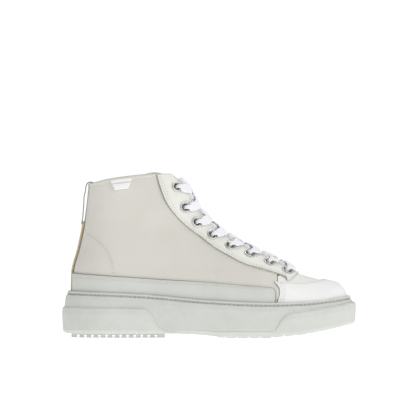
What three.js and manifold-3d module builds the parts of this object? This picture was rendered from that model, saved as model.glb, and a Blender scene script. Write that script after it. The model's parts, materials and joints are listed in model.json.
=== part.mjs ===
// A right-foot basketball high top: canvas boot on a stitched cupsole.
// Millimetres. +X towards the toe, +Y towards the inner (medial) side, +Z up.
// The origin is on the ground under the middle of the bounding box.
import * as THREE from 'three';
import { mergeVertices } from 'three/addons/utils/BufferGeometryUtils.js';
import Module from 'manifold-3d';

const wasm = await Module();
wasm.setup();

// ------------------------------------------------------------- driving sizes
const soleLength = 300;            // overall length, heel block to toe block
const soleWidth = 112;             // overall width across the ball of the foot
const collarFrontHeight = 158.5;   // ground to the front end of the collar
const collarBackHeight = 156.2;    // ground to the collar at the heel
const toeTopHeight = 59;           // ground to the top of the toe box
const ankleHalfWidth = 30;         // half width of the shaft at the ankle
const lipHeelHeight = 47.5;        // cupsole lip above the ground at the heel
const lipBallHeight = 36;          // and at the ball of the foot
const lipToeHeight = 43;           // and at the toe
const featherDrop = 17;            // lip down to the lower edge of the upper
const toeShift = 4;                // toe tip towards the inner side

// thicknesses of the upper's layers, as offsets from the canvas face
const gap = 0.3;
const canvasThickness = 1.1;
const overlayGap = 0.5;            // between the canvas and what lies on it
const overlayThickness = 1.2;
const innerLayerFrom = -1.9;       // counter, puff, foam and facing
const innerLayerTo = -2.7;
const puffFrom = -2.1;
const puffThickness = 0.5;         // the toe puff is the thinnest stiffener
const liningFrom = -3.3;
const liningTo = -4.2;
const overlayFace = overlayGap + overlayThickness;

// cupsole
const wallClearance = 1.1;         // overlay face to the cup wall
const lipThickness = 1.3;
const wallBulge = 4;               // lip edge out to the side wall
const blockProud = 2.6;            // heel and toe blocks out of the side wall
const floorThickness = 4.5;
const treadPocketDepth = 2;
const treadInset = 7;
const heelTreadDrop = 4.2;         // ground to the cupsole's heel underside
const threadSize = 0.8;

// throat, eyelets and lace
const throatHalfWidth = 12.5;      // at the collar
const throatFrontHalfWidth = 9.5;  // at the last eyelets
const eyeletCount = 8;
const eyeletFirst = 11.5;          // collar front to the first eyelet, along the instep
const eyeletPitch = 18.9;
const eyeletSetBack = 13;          // throat edge to the eyelet's centre
const eyeletFlangeRadius = 5.8;
const eyeletBoreRadius = 3;
const eyeletWall = 0.7;
const laceWidth = 7.6;
const laceThickness = 1.3;
const tongueThickness = 5.4;

// ------------------------------------------------------------------- helpers
const clamp = (value, low, high) => Math.min(high, Math.max(low, value));
const mix = (a, b, share) => a + (b - a) * share;
const smoothstep = (value, low, high) => {
  const share = clamp((value - low) / (high - low), 0, 1);
  return share * share * (3 - 2 * share);
};
const lengthwise = share => (share - 0.5) * soleLength;

// Monotone cubic curve through [at, value] points, level beyond both ends.
const curveThrough = (points) => {
  const last = points.length - 1;
  const slopes = [];
  for (let i = 0; i < last; i += 1) {
    slopes.push((points[i + 1][1] - points[i][1]) / (points[i + 1][0] - points[i][0]));
  }
  const tangents = points.map((_, i) => {
    if (i === 0) return slopes[0];
    if (i === last) return slopes[last - 1];
    const product = slopes[i - 1] * slopes[i];
    return product <= 0 ? 0 : 2 * product / (slopes[i - 1] + slopes[i]);
  });
  return (at) => {
    const t = clamp(at, points[0][0], points[last][0]);
    let i = 0;
    while (i < last - 1 && t > points[i + 1][0]) i += 1;
    const span = points[i + 1][0] - points[i][0];
    const s = (t - points[i][0]) / span;
    const rise = points[i + 1][1] - points[i][1];
    const bend = (tangents[i] + tangents[i + 1]) * span - 2 * rise;
    const lean = 3 * rise - (2 * tangents[i] + tangents[i + 1]) * span;
    return points[i][1] + s * (tangents[i] * span + s * (lean + s * bend));
  };
};
const bisect = (isBefore, low, high) => {
  let [a, b] = [low, high];
  for (let step = 0; step < 30; step += 1) {
    const middle = (a + b) / 2;
    if (isBefore(middle)) a = middle;
    else b = middle;
  }
  return (a + b) / 2;
};

// ------------------------------------------------ heights along the cupsole
const lip = curveThrough([
  [lengthwise(0.03), lipHeelHeight], [lengthwise(0.25), lipHeelHeight - 2.6],
  [lengthwise(0.5), lipBallHeight + 2.6], [lengthwise(0.7), lipBallHeight],
  [lengthwise(0.82), lipBallHeight + 0.9], [lengthwise(0.98), lipToeHeight]]);
const feather = x => lip(x) - featherDrop;
const underside = curveThrough([
  [lengthwise(0.02), heelTreadDrop], [lengthwise(0.36), heelTreadDrop],
  [lengthwise(0.47), 3], [lengthwise(0.56), 0.8], [lengthwise(0.7), 0.8],
  [lengthwise(0.75), 2.3], [lengthwise(0.82), 4.1], [lengthwise(0.9), 8.6],
  [lengthwise(0.99), 15.6]]);

// -------------------------------------------------- the last: side silhouette
const fromHeel = share => mix(lipHeelHeight, collarBackHeight, share);
const heelLine = curveThrough([
  [0, lengthwise(0.037)], [fromHeel(0), lengthwise(0.035)],
  [fromHeel(0.157), lengthwise(0.036)], [fromHeel(0.41), lengthwise(0.058)],
  [fromHeel(0.667), lengthwise(0.0765)], [fromHeel(1), lengthwise(0.091)]]);
const instep = (share, rise) => [lengthwise(share), mix(toeTopHeight, collarFrontHeight, rise)];
const toeCap = (share, height) => [lengthwise(share), height * toeTopHeight];
const ridgePoints = [
  [lengthwise(0.9683), lipToeHeight - featherDrop], toeCap(0.968, 0.61), toeCap(0.965, 0.73),
  toeCap(0.95, 0.873), toeCap(0.935, 0.937), toeCap(0.899, 0.987), instep(0.8727, 0.007),
  instep(0.8463, 0.027), instep(0.8033, 0.066), instep(0.7723, 0.104), instep(0.7207, 0.184),
  instep(0.6623, 0.273), instep(0.6117, 0.352), instep(0.5873, 0.398), instep(0.553, 0.485),
  instep(0.522, 0.571), instep(0.501, 0.652), instep(0.4785, 0.737), instep(0.46, 0.84),
  instep(0.441, 0.965), instep(0.43, 1)];
const ridgeSpans = [0];
for (let i = 1; i < ridgePoints.length; i += 1) {
  const [a, b] = [ridgePoints[i - 1], ridgePoints[i]];
  ridgeSpans.push(ridgeSpans[i - 1] + Math.hypot(b[0] - a[0], b[1] - a[1]));
}
const ridgeLength = ridgeSpans[ridgeSpans.length - 1];
const ridgeX = curveThrough(ridgePoints.map((p, i) => [ridgeSpans[i] / ridgeLength, p[0]]));
const ridgeZ = curveThrough(ridgePoints.map((p, i) => [ridgeSpans[i] / ridgeLength, p[1]]));
const ridgeSteps = 90;
const ridge = Array.from({ length: ridgeSteps + 1 }, (_, i) => [
  ridgeX(i / ridgeSteps), ridgeZ(i / ridgeSteps)]);

// Distance in from the instep line, negative outside it.
const ridgeDepth = (x, z) => {
  let best = Infinity;
  let depth = 0;
  for (let i = 0; i < ridgeSteps; i += 1) {
    const [ax, az] = ridge[i];
    const dx = ridge[i + 1][0] - ax;
    const dz = ridge[i + 1][1] - az;
    const along = clamp(((x - ax) * dx + (z - az) * dz) / (dx * dx + dz * dz),
      i === 0 ? -Infinity : 0, i === ridgeSteps - 1 ? Infinity : 1);
    const distance = Math.hypot(x - ax - along * dx, z - az - along * dz);
    if (distance < best) {
      best = distance;
      depth = Math.sign(dx * (z - az) - dz * (x - ax)) * distance;
    }
  }
  return depth;
};

// ------------------------------------------------------ the last: half widths
const lastHalfWidth = soleWidth / 2
  - overlayFace - wallClearance - lipThickness - wallBulge;
const outerPlan = curveThrough([
  [lengthwise(0), 0.8], [lengthwise(0.2), 0.82], [lengthwise(0.35), 0.82],
  [lengthwise(0.5), 0.89], [lengthwise(0.66), 1], [lengthwise(0.8), 0.95], [lengthwise(1), 0.78]]);
const innerPlan = curveThrough([
  [lengthwise(0), 0.78], [lengthwise(0.2), 0.8], [lengthwise(0.38), 0.7],
  [lengthwise(0.5), 0.73], [lengthwise(0.74), 0.985], [lengthwise(0.85), 0.93], [lengthwise(1), 0.8]]);
const widthPower = 2.3;
const heelRound = 42;
const heelPower = 2.2;
const ridgeRoundAnkle = 66;
const ridgeRoundToe = 48;
const centreLine = x => toeShift * smoothstep(x, lengthwise(0.76), lengthwise(0.97));
const halfWidth = (x, z, side) => {
  const plan = lastHalfWidth * (side < 0 ? outerPlan(x) : innerPlan(x));
  const climb = smoothstep(z, lipHeelHeight, mix(lipHeelHeight, collarBackHeight, 0.72));
  return mix(plan, ankleHalfWidth, climb);
};
const roundness = (x, z) => {
  const forward = smoothstep(x, lengthwise(0.42), lengthwise(0.72));
  const heelShare = Math.max(0, 1 - (x - heelLine(z)) / heelRound);
  const depth = ridgeDepth(x, z) / mix(ridgeRoundAnkle, ridgeRoundToe, forward);
  const ridgeShare = Math.max(0, 1 - depth);
  const ridgePower = mix(1.45, 2.6, forward);
  return (1 - heelShare ** heelPower) * (1 - ridgeShare ** ridgePower);
};
const field = (x, y, z) => {
  const across = y - centreLine(x);
  const side = across < 0 ? -1 : 1;
  return (Math.abs(across) / halfWidth(x, z, side)) ** widthPower - roundness(x, z);
};

// A point of the canvas face at side-view place (x, z), with its outward normal.
const surfaceAt = (x, z, side) => {
  const reach = Math.max(0, roundness(x, z)) ** (1 / widthPower);
  const y = centreLine(x) + side * halfWidth(x, z, side) * reach;
  const step = 0.05;
  const normal = new THREE.Vector3(
    field(x + step, y, z) - field(x - step, y, z),
    field(x, y + step, z) - field(x, y - step, z),
    field(x, y, z + step) - field(x, y, z - step)).normalize();
  return { point: new THREE.Vector3(x, y, z), normal };
};

// ----------------------------------------------- the last: rows from heel to instep
// Row v runs from the heel line to the instep line: 0 is the feather edge, 1 the collar.
const collarLine = curveThrough([
  [lengthwise(0.091), collarBackHeight], [lengthwise(0.1613), collarBackHeight + 4.8],
  [lengthwise(0.239), collarBackHeight + 7.9], [lengthwise(0.319), collarBackHeight + 10.2],
  [lengthwise(0.3607), collarBackHeight + 10.6], [lengthwise(0.383), collarBackHeight + 9.7],
  [lengthwise(0.3983), collarBackHeight + 6.9], [lengthwise(0.412), collarBackHeight + 4.4],
  [lengthwise(0.43), collarFrontHeight]]);
const rowPower = 1.5;
const rowBack = (v) => {
  const z = mix(feather(lengthwise(0.036)), collarBackHeight, v ** rowPower);
  return [heelLine(z), z];
};
const chordAt = (from, to, x) => mix(from[1], to[1], clamp((x - from[0]) / (to[0] - from[0]), 0, 1));
const edgeFade = 6;
const sideView = (u, v) => {
  const back = rowBack(v);
  const front = [ridgeX(v), ridgeZ(v)];
  const share = (1 - Math.cos(Math.PI * u)) / 2;
  const x = mix(back[0], front[0], share);
  const crown = collarLine(x) - chordAt(rowBack(1), [ridgeX(1), ridgeZ(1)], x);
  const sag = feather(x) - chordAt(rowBack(0), [ridgeX(0), ridgeZ(0)], x);
  const z = mix(back[1], front[1], share) + crown * v ** edgeFade + sag * (1 - v) ** edgeFade;
  return [x, z];
};
// U from 0 to 1 is the outer side, heel to instep; past 1 and below 0 is the inner side.
const surface = (U, v) => {
  const side = U < 0 || U > 1 ? 1 : -1;
  const u = U < 0 ? -U : U > 1 ? 2 - U : U;
  const [x, z] = sideView(u, v);
  return surfaceAt(x, z, side);
};
const rowAtX = (x, v) => bisect(u => sideView(u, v)[0] < x, 0, 1);
const locate = ([x, z]) => {
  const v = bisect(row => sideView(rowAtX(x, row), row)[1] < z, 0, 1);
  return [rowAtX(x, v), v];
};
// The place on row v that is a given distance off the centre line, from the heel or the instep.
const offCentre = u_v => {
  const { point } = surface(u_v[0], u_v[1]);
  return Math.abs(point.y - centreLine(point.x));
};
const fromHeelCentre = (distance, v) => bisect(u => offCentre([u, v]) < distance, 0, 0.4);
const fromInstep = (distance, v) => bisect(u => offCentre([u, v]) > distance, 0.6, 1);

// ---------------------------------------------------------------- mesh making
const toGeometry = (points, faces) => {
  const geometry = new THREE.BufferGeometry();
  geometry.setAttribute('position', new THREE.Float32BufferAttribute(
    points.flatMap(p => [p.x, p.y, p.z]), 3));
  let volume = 0;
  for (const [a, b, c] of faces) {
    volume += points[a].dot(new THREE.Vector3().crossVectors(points[b], points[c]));
  }
  const outward = volume > 0 ? faces : faces.map(([a, b, c]) => [a, c, b]);
  geometry.setIndex(outward.flat());
  return geometry;
};
const quad = (a, b, c, d) => [[a, b, c], [a, c, d]];

// A sheet with thickness: place(i, j) gives a surface point with its normal, and the sheet
// fills the space between the two offsets, which may be numbers or functions of (i, j).
const sheet = (rows, columns, place, outer, inner) => {
  const value = (offset, i, j) => (typeof offset === 'function' ? offset(i, j) : offset);
  const points = [];
  const layer = (rows + 1) * (columns + 1);
  for (const offset of [outer, inner]) {
    for (let i = 0; i <= rows; i += 1) {
      for (let j = 0; j <= columns; j += 1) {
        const { point, normal } = place(i / rows, j / columns);
        const reach = value(offset, i / rows, j / columns);
        points.push(point.clone().addScaledVector(normal, reach));
      }
    }
  }
  const at = (i, j) => i * (columns + 1) + j;
  const faces = [];
  for (let i = 0; i < rows; i += 1) {
    for (let j = 0; j < columns; j += 1) {
      faces.push(...quad(at(i, j), at(i, j + 1), at(i + 1, j + 1), at(i + 1, j)));
      faces.push(...quad(layer + at(i, j), layer + at(i + 1, j), layer + at(i + 1, j + 1),
        layer + at(i, j + 1)));
    }
  }
  const rim = [];
  for (let j = 0; j < columns; j += 1) rim.push(at(0, j));
  for (let i = 0; i < rows; i += 1) rim.push(at(i, columns));
  for (let j = columns; j > 0; j -= 1) rim.push(at(rows, j));
  for (let i = rows; i > 0; i -= 1) rim.push(at(i, 0));
  rim.forEach((a, k) => {
    const b = rim[(k + 1) % rim.length];
    faces.push(...quad(b, a, layer + a, layer + b));
  });
  return toGeometry(points, faces);
};

// A closed body skinned over rings of points. Each ring goes round once, and its first and
// middle points lie on the centre line, so an end is closed by strips from side to side.
const skin = (rings) => {
  const count = rings[0].length;
  const faces = [];
  for (let k = 0; k + 1 < rings.length; k += 1) {
    for (let i = 0; i < count; i += 1) {
      const j = (i + 1) % count;
      faces.push(...quad(k * count + i, k * count + j, (k + 1) * count + j, (k + 1) * count + i));
    }
  }
  const close = (start, flip) => {
    for (let i = 0; i < count / 2; i += 1) {
      const [a, b] = [start + i, start + i + 1];
      const [c, d] = [start + (count - i - 1), start + ((count - i) % count)];
      const strip = [];
      if (i === 0) strip.push([a, c, b]);
      else if (i === count / 2 - 1) strip.push([a, d, b]);
      else strip.push([a, d, c], [a, c, b]);
      faces.push(...strip.map(([p, q, r]) => (flip ? [p, r, q] : [p, q, r])));
    }
  };
  close(0, false);
  close((rings.length - 1) * count, true);
  return toGeometry(rings.flat(), faces);
};

// A closed band skinned over sections that come back to the first one.
const loopBand = (sections) => {
  const sides = sections[0].length;
  const faces = [];
  sections.forEach((_, k) => {
    const next = ((k + 1) % sections.length) * sides;
    for (let i = 0; i < sides; i += 1) {
      const j = (i + 1) % sides;
      faces.push(...quad(k * sides + i, k * sides + j, next + j, next + i));
    }
  });
  return toGeometry(sections.flat(), faces);
};

// A closed body swept over open-ended sections, its ends fanned shut.
const sweep = (sections) => {
  const sides = sections[0].length;
  const faces = [];
  for (let k = 0; k + 1 < sections.length; k += 1) {
    for (let i = 0; i < sides; i += 1) {
      const j = (i + 1) % sides;
      faces.push(...quad(k * sides + i, k * sides + j, (k + 1) * sides + j, (k + 1) * sides + i));
    }
  }
  const end = (sections.length - 1) * sides;
  for (let i = 1; i + 1 < sides; i += 1) {
    faces.push([0, i + 1, i], [end, end + i, end + i + 1]);
  }
  return toGeometry(sections.flat(), faces);
};

const toSolid = (geometry) => {
  const bare = geometry.clone();
  bare.deleteAttribute('normal');
  bare.deleteAttribute('uv');
  const merged = mergeVertices(bare, 1e-4);
  return new wasm.Manifold(new wasm.Mesh({
    numProp: 3,
    vertProperties: new Float32Array(merged.attributes.position.array),
    triVerts: new Uint32Array(merged.index.array) }));
};
const fromSolid = (solid) => {
  const mesh = solid.getMesh();
  const geometry = new THREE.BufferGeometry();
  geometry.setAttribute('position', new THREE.BufferAttribute(mesh.vertProperties, 3));
  geometry.setIndex(new THREE.BufferAttribute(mesh.triVerts, 1));
  return geometry;
};
const cut = (geometry, ...tools) => {
  const body = tools.reduce((solid, tool) => solid.subtract(toSolid(tool)), toSolid(geometry));
  return fromSolid(body);
};

const shoe = new THREE.Group();
const finishes = {
  canvas: [0xdedcd4, 0.9, 0], leather: [0xe9e9e3, 0.55, 0], toeLeather: [0xeeeeee, 0.5, 0],
  rubber: [0xcfd1cb, 0.7, 0], suede: [0xb9a06c, 0.85, 0], webbing: [0x9b9b96, 0.6, 0],
  nickel: [0xb8b8b4, 0.3, 1], lace: [0xe8e8ec, 0.85, 0], lining: [0xe4e0d6, 0.9, 0],
  foam: [0xd8d2b8, 0.95, 0], board: [0xb9b3a2, 0.9, 0], thread: [0xf0f0ee, 0.6, 0],
  plastic: [0xf2f2f2, 0.3, 0], steel: [0x9aa0a6, 0.35, 1] };
const add = (name, finish, geometry) => {
  const [color, roughness, metalness] = finishes[finish];
  const mesh = new THREE.Mesh(
    geometry, new THREE.MeshStandardMaterial({ color, roughness, metalness }));
  mesh.name = name;
  shoe.add(mesh);
};
const sides = [['lateral', -1], ['medial', 1]];
const backstayHalfWidth = 9;
const centreGap = 0.4;             // half the gap of a seam on the centre line
// A place on one side of the shoe: heel seams go round through 0, toe seams through 1.
const onSide = (u, side) => (side < 0 ? u : 2 - u);

// --------------------------------------------------------- outlines on the side
const sideCurve = points => curveThrough(points.map(([z, share]) => [z, lengthwise(share)]));
const boot = share => mix(toeTopHeight, collarBackHeight + 10.6, share);
const eyestaySeam = sideCurve([
  [boot(-0.013), 0.7647], [boot(0.011), 0.7607], [boot(0.04), 0.7443], [boot(0.091), 0.6903],
  [boot(0.148), 0.6203], [boot(0.224), 0.5667], [boot(0.327), 0.5047], [boot(0.4), 0.4717],
  [boot(0.494), 0.426], [boot(0.621), 0.3803], [boot(0.749), 0.3487], [boot(0.902), 0.328],
  [boot(1), 0.319]]);
const seamOverlap = 8;             // the eyestay laps over the quarter by this much
const vampSeamAt = lengthwise(0.733);
const quarterFront = z => Math.min(vampSeamAt, eyestaySeam(z) + seamOverlap);
const foxingTop = curveThrough([
  [lengthwise(0.04), 65.8], [lengthwise(0.333), 59.8], [lengthwise(0.455), 57.5],
  [lengthwise(0.531), 55.7], [lengthwise(0.718), 50.9]]);
const bumperRear = lengthwise(0.7195);
const bumperTop = curveThrough([
  [bumperRear, toeTopHeight - 1.8], [lengthwise(0.7977), toeTopHeight - 4.4],
  [lengthwise(0.8557), toeTopHeight - 3.2], [lengthwise(0.901), toeTopHeight],
  [lengthwise(0.97), toeTopHeight + 5]]);
const counterTop = curveThrough([
  [lengthwise(0.02), boot(0.45)], [lengthwise(0.084), boot(0.445)],
  [lengthwise(0.134), boot(0.344)], [lengthwise(0.1617), boot(0.241)],
  [lengthwise(0.177), boot(0.114)], [lengthwise(0.182), boot(-0.05)]]);
const puffTop = x => lipToeHeight - 11 + (x - lengthwise(0.815)) * 1.9;
const tuck = 6;                    // upper pieces reach this far below the lip
const tuckedEdge = x => lip(x) - tuck;

const throatFrontX = lengthwise(0.803);
const throatRow = bisect(v => ridgeX(v) > throatFrontX, 0, 1);
const rowsFor = length => length / ridgeLength;
const throatHalf = v => mix(3, mix(throatFrontHalfWidth, throatHalfWidth,
  smoothstep(v, throatRow, 0.8)), smoothstep(v, throatRow, throatRow + rowsFor(9)));
const throatEdge = v => fromInstep(throatHalf(v), v);
const seamOn = (v, curve) => bisect((u) => {
  const [x, z] = sideView(u, v);
  return x < curve(z);
}, 0, 1);
const rowAtHeight = (u, height) => bisect((v) => {
  const [x, z] = sideView(u, v);
  return z < height(x);
}, 0, 1);
// The u where x is reached along the line that a height function draws.
const atXAlong = (x, height) => bisect(
  u => sideView(u, rowAtHeight(u, height))[0] < x, 0, 1);
// A band between two height lines, from place U to place U, each given on both lines.
const band = (rows, columns, lower, upper, from, to, outer, inner) => sheet(
  rows, columns, (i, j) => {
    const low = mix(from[0], to[0], j);
    const high = mix(from[1], to[1], j);
    const fold = U => (U > 1 ? 2 - U : Math.abs(U));
    const lowRow = rowAtHeight(fold(low), lower);
    const highRow = rowAtHeight(fold(high), upper);
    return surface(mix(low, high, i), mix(lowRow, highRow, i));
  }, outer, inner);
// A panel on one side, between two functions of the row.
const panel = (rows, columns, vFrom, vTo, from, to, side, outer, inner) => sheet(
  rows, columns, (i, j) => {
    const v = mix(vFrom, vTo, i);
    return surface(onSide(mix(from(v), to(v), j), side), v);
  }, outer, inner);

// ------------------------------------------------------------------- eyelets
const eyeletRow = level => 1 - rowsFor(eyeletFirst + level * eyeletPitch);
const onEyeletLine = (level, side, setBack) => {
  const v = eyeletRow(level);
  const edge = throatEdge(v);
  const from = surface(onSide(edge, side), v).point;
  const u = bisect(at => surface(onSide(at, side), v).point.distanceTo(from) > setBack, 0.3, edge);
  return surface(onSide(u, side), v);
};
const flangeUnder = overlayFace + 1.4 * gap;
const flangeTop = flangeUnder + 1.1;
const barrelEnd = innerLayerTo - 0.5;
const barrelRadius = eyeletBoreRadius + eyeletWall;
const alignTo = (geometry, place, along) => {
  const turn = new THREE.Quaternion().setFromUnitVectors(new THREE.Vector3(0, 1, 0), place.normal);
  geometry.translate(0, along, 0);
  geometry.applyQuaternion(turn);
  geometry.translate(place.point.x, place.point.y, place.point.z);
  return geometry;
};
const eyeletPlaces = side => Array.from({ length: eyeletCount }, (_, level) => (
  onEyeletLine(level, side, eyeletSetBack)));
const boreTool = place => alignTo(
  new THREE.CylinderGeometry(barrelRadius + gap, barrelRadius + gap, 12, 10), place, 0);
const eyeletGeometry = (place) => {
  const profile = [
    [eyeletBoreRadius, barrelEnd], [barrelRadius, barrelEnd], [barrelRadius, flangeUnder],
    [eyeletFlangeRadius, flangeUnder], [eyeletFlangeRadius - 0.5, flangeTop - 0.4],
    [barrelRadius, flangeTop], [eyeletBoreRadius, barrelEnd]];
  const ring = new THREE.LatheGeometry(profile.map(([r, y]) => new THREE.Vector2(r, y)), 10);
  return alignTo(ring, place, 0);
};

// --------------------------------------------------------------- upper pieces
const rearSeam = v => fromHeelCentre(centreGap, v);
const quarterEnd = v => seamOn(v, quarterFront);
const eyestayStart = v => seamOn(v, eyestaySeam);
const tipAt = locate([lengthwise(0.765), toeTopHeight - 0.6])[1];
const eyestayEnd = (v) => {
  if (v >= throatRow) return throatEdge(v);
  const share = (v - tipAt) / (throatRow - tipAt);
  return rowAtX(mix(lengthwise(0.775), throatFrontX, share), v);
};
const liningFront = v => seamOn(v, z => Math.min(
  vampSeamAt, eyestaySeam(z) + seamOverlap / 2));

for (const [name, side] of sides) {
  const places = eyeletPlaces(side);
  // Eyelets punch through whatever lies under the eyestay where they stand.
  const bores = places.map(boreTool);
  const quarter = sheet(10, 16, (i, j) => surface(
    onSide(mix(rearSeam(i), quarterEnd(i), j ** 1.2), side), i), 0, -canvasThickness);
  add(`quarter_${name}`, 'canvas', cut(quarter, ...bores));
  const lining = sheet(10, 12, (i, j) => {
    const v = 0.99 * i;
    return surface(onSide(mix(rearSeam(v), liningFront(v), j ** 1.2), side), v);
  }, liningFrom, liningTo);
  add(`lining_${name}`, 'lining', cut(lining, ...bores));
  const eyestay = panel(
    16, 6, tipAt, 0.998, eyestayStart, eyestayEnd, side, overlayFace, overlayGap);
  add(`eyestay_${name}`, 'leather', cut(eyestay, ...bores));
  const facing = panel(
    14, 5, throatRow + 0.01, 0.985, v => eyestayStart(v) + 0.012, throatEdge, side,
    innerLayerFrom, innerLayerTo);
  add(`facing_${name}`, 'leather', cut(facing, ...bores));
  const heelEnd = height => bisect(
    u => offCentre([u, rowAtHeight(u, height)]) < backstayHalfWidth + 2, 0, 0.4);
  add(`foxing_${name}`, 'leather', band(
    2, 20, tuckedEdge, foxingTop, [heelEnd(tuckedEdge), heelEnd(foxingTop)].map(u => u * -side),
    [tuckedEdge, foxingTop].map(height => onSide(
      atXAlong(bumperRear - overlayGap, height), side)).map(U => (side > 0 ? U - 2 : U)),
    overlayFace, overlayGap));
}

const acrossToe = u => [u, 2 - u];
add('vamp', 'leather', sheet(11, 20, (i, j) => {
  const v = mix(0, throatRow - 0.004, i);
  const start = seamOn(v, z => quarterFront(z) + overlayGap);
  return surface(mix(...acrossToe(start), j), v);
}, 0, -canvasThickness));
add('vamp_lining', 'lining', sheet(10, 20, (i, j) => {
  const v = mix(0, throatRow - 0.004, i);
  return surface(mix(...acrossToe(liningFront(v) + 0.004), j), v);
}, liningFrom, liningTo));
const bumperEnds = [tuckedEdge, bumperTop].map(height => atXAlong(bumperRear, height));
const bumperColumns = Math.round(soleLength / 12.5);
add('toe_bumper', 'toeLeather', band(
  6, bumperColumns, tuckedEdge, bumperTop, bumperEnds, bumperEnds.map(u => 2 - u),
  overlayFace, overlayGap));
const puffEnd = atXAlong(lengthwise(0.815), x => feather(x) + 12);
add('toe_puff', 'board', band(
  6, 20, x => feather(x) + 1, puffTop, [puffEnd, puffEnd], [2 - puffEnd, 2 - puffEnd],
  puffFrom, puffFrom - puffThickness));
const counterEnd = atXAlong(lengthwise(0.18), x => feather(x) + 12);
add('heel_counter', 'board', band(
  5, 18, x => feather(x) + 1, counterTop, [counterEnd, counterEnd], [-counterEnd, -counterEnd],
  innerLayerFrom, innerLayerTo));
add('collar_foam', 'foam', sheet(3, 24, (i, j) => {
  const v = mix(0.87, 0.975, i);
  const end = eyestayStart(v) - 0.01;
  return surface(mix(end, -end, j), v);
}, innerLayerFrom, innerLayerTo));

// collar binding: a strip that caps the edges of quarter, foam and lining
const bindingLift = 0.4;
const bindingHeight = 1.5;
const bindingEnd = eyestayStart(1) - 0.01;
add('collar_binding', 'canvas', sheet(1, 28, (i, j) => {
  const place = surface(mix(bindingEnd, -bindingEnd, j), 1);
  place.point.z += bindingLift + bindingHeight * i;
  place.normal.setZ(0).normalize();
  return place;
}, 0.2, liningTo));

// heel strip and pull loop
const backstayTop = mix(lipHeelHeight, collarBackHeight, 0.65);
const backstayEdge = [tuckedEdge, () => backstayTop].map(height => bisect(
  u => offCentre([u, rowAtHeight(u, height)]) < backstayHalfWidth, 0, 0.4));
add('backstay', 'suede', band(
  10, 4, tuckedEdge, () => backstayTop, backstayEdge, backstayEdge.map(u => -u),
  overlayFace, overlayGap));

const loopHalfWidth = 7;
const loopThickness = 1.1;
const loopBulge = 5.2;
const overCollar = collarBackHeight + bindingLift + bindingHeight + gap + loopThickness / 2 + 1;
const loopPath = [
  [6.1, collarBackHeight - 9], [6.1, collarBackHeight + 1], [5.3, overCollar - 0.4],
  [2.4, overCollar + 0.2], [-1.4, overCollar], [-3.8, overCollar - 2.4],
  [-loopBulge, collarBackHeight - 6], [-loopBulge - 0.2, collarBackHeight - 13],
  [-loopBulge + 0.4, collarBackHeight - 21], [-3.2, backstayTop + 10],
  [-1.4, backstayTop + 6], [-1.2, backstayTop + 0.7]].map(([offset, z]) => (
  new THREE.Vector3(heelLine(z) + offset, 0, z)));
const ribbonSections = (path, halfWidth, thickness) => path.map((point, k) => {
  const before = path[Math.max(0, k - 1)];
  const after = path[Math.min(path.length - 1, k + 1)];
  const along = after.clone().sub(before).normalize();
  const out = new THREE.Vector3(-along.z, 0, along.x).multiplyScalar(thickness / 2);
  return [[-1, -1], [1, -1], [1, 1], [-1, 1]].map(([across, away]) => (
    point.clone().addScaledVector(out, away).add(new THREE.Vector3(0, across * halfWidth, 0))));
});
add('pull_loop', 'webbing', sweep(ribbonSections(loopPath, loopHalfWidth, loopThickness)));

// blank folded tab at the outer collar
const tabTop = x => collarLine(x) - 0.8;
const tabBottom = x => collarLine(x) - 11.3;
const tabEnd = (share, height) => atXAlong(lengthwise(share), height);
add('side_tab', 'leather', band(
  3, 4, tabBottom, tabTop, [tabEnd(0.1797, tabBottom), tabEnd(0.1637, tabTop)],
  [tabEnd(0.2253, tabBottom), tabEnd(0.239, tabTop)], overlayFace, overlayGap));

// -------------------------------------------------------------------- tongue
const tongueBaseRow = throatRow - rowsFor(9);
const tongueTopRow = 0.965;
const tongueRise = 16;             // stands this far past the last eyelets' row
const tongueRows = 12;
const tonguePlace = inset => (i, j) => {
  const t = i * (1 + tongueRise / (ridgeLength * (tongueTopRow - tongueBaseRow)));
  const v = mix(tongueBaseRow, tongueTopRow, Math.min(1, t));
  const half = mix(15, 23, smoothstep(v, tongueBaseRow, tongueBaseRow + 0.2)) - inset;
  const edge = fromInstep(half, v);
  const place = surface(mix(edge, 2 - edge, j), v);
  const beyond = Math.max(0, t - 1) * ridgeLength * (tongueTopRow - tongueBaseRow);
  const up = new THREE.Vector3(
    ridgeX(1) - ridgeX(0.97), 0, ridgeZ(1) - ridgeZ(0.97)).normalize();
  place.point.addScaledVector(up, beyond);
  const sink = smoothstep(v, tongueBaseRow, throatRow + rowsFor(3));
  place.point.addScaledVector(place.normal, mix(liningTo - 0.6, liningTo - 2.6, sink));
  return place;
};
const tongueLayer = (from, to, inset) => sheet(tongueRows, 8, tonguePlace(inset), -from, -to);
const tongueSkin = 0.9;
add('tongue_outer', 'leather', tongueLayer(0, tongueSkin, 0));
const foamClearance = 0.8;
add('tongue_foam', 'foam', tongueLayer(
  tongueSkin + foamClearance, tongueThickness - tongueSkin - foamClearance, 2));
add('tongue_lining', 'lining', tongueLayer(tongueThickness - tongueSkin, tongueThickness, 0));

// ------------------------------------------------------------ eyelets and lace
for (const [name, side] of sides) {
  eyeletPlaces(side).forEach((place, level) => {
    add(`eyelet_${name}_${level + 1}`, 'nickel', eyeletGeometry(place));
  });
}

// The throat edge beside a level, with the direction over the surface towards the instep.
const throatPlace = (level, side) => {
  const v = eyeletRow(level);
  const { point, normal } = surface(onSide(throatEdge(v), side), v);
  const behind = surface(onSide(throatEdge(v) - 0.03, side), v).point;
  return { point, normal, forward: point.clone().sub(behind).normalize() };
};
const laceHalf = laceThickness / 2;
const flat = [laceWidth / 2, laceHalf];
const folded = [2.6, 1];
const round = [1.9, 1.25];
const overEdge = overlayFace + 2 * gap + laceHalf + 1.1;
const underEdge = innerLayerTo - 1 - laceHalf;
const clearOfRim = 0.4 + laceHalf;
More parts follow.
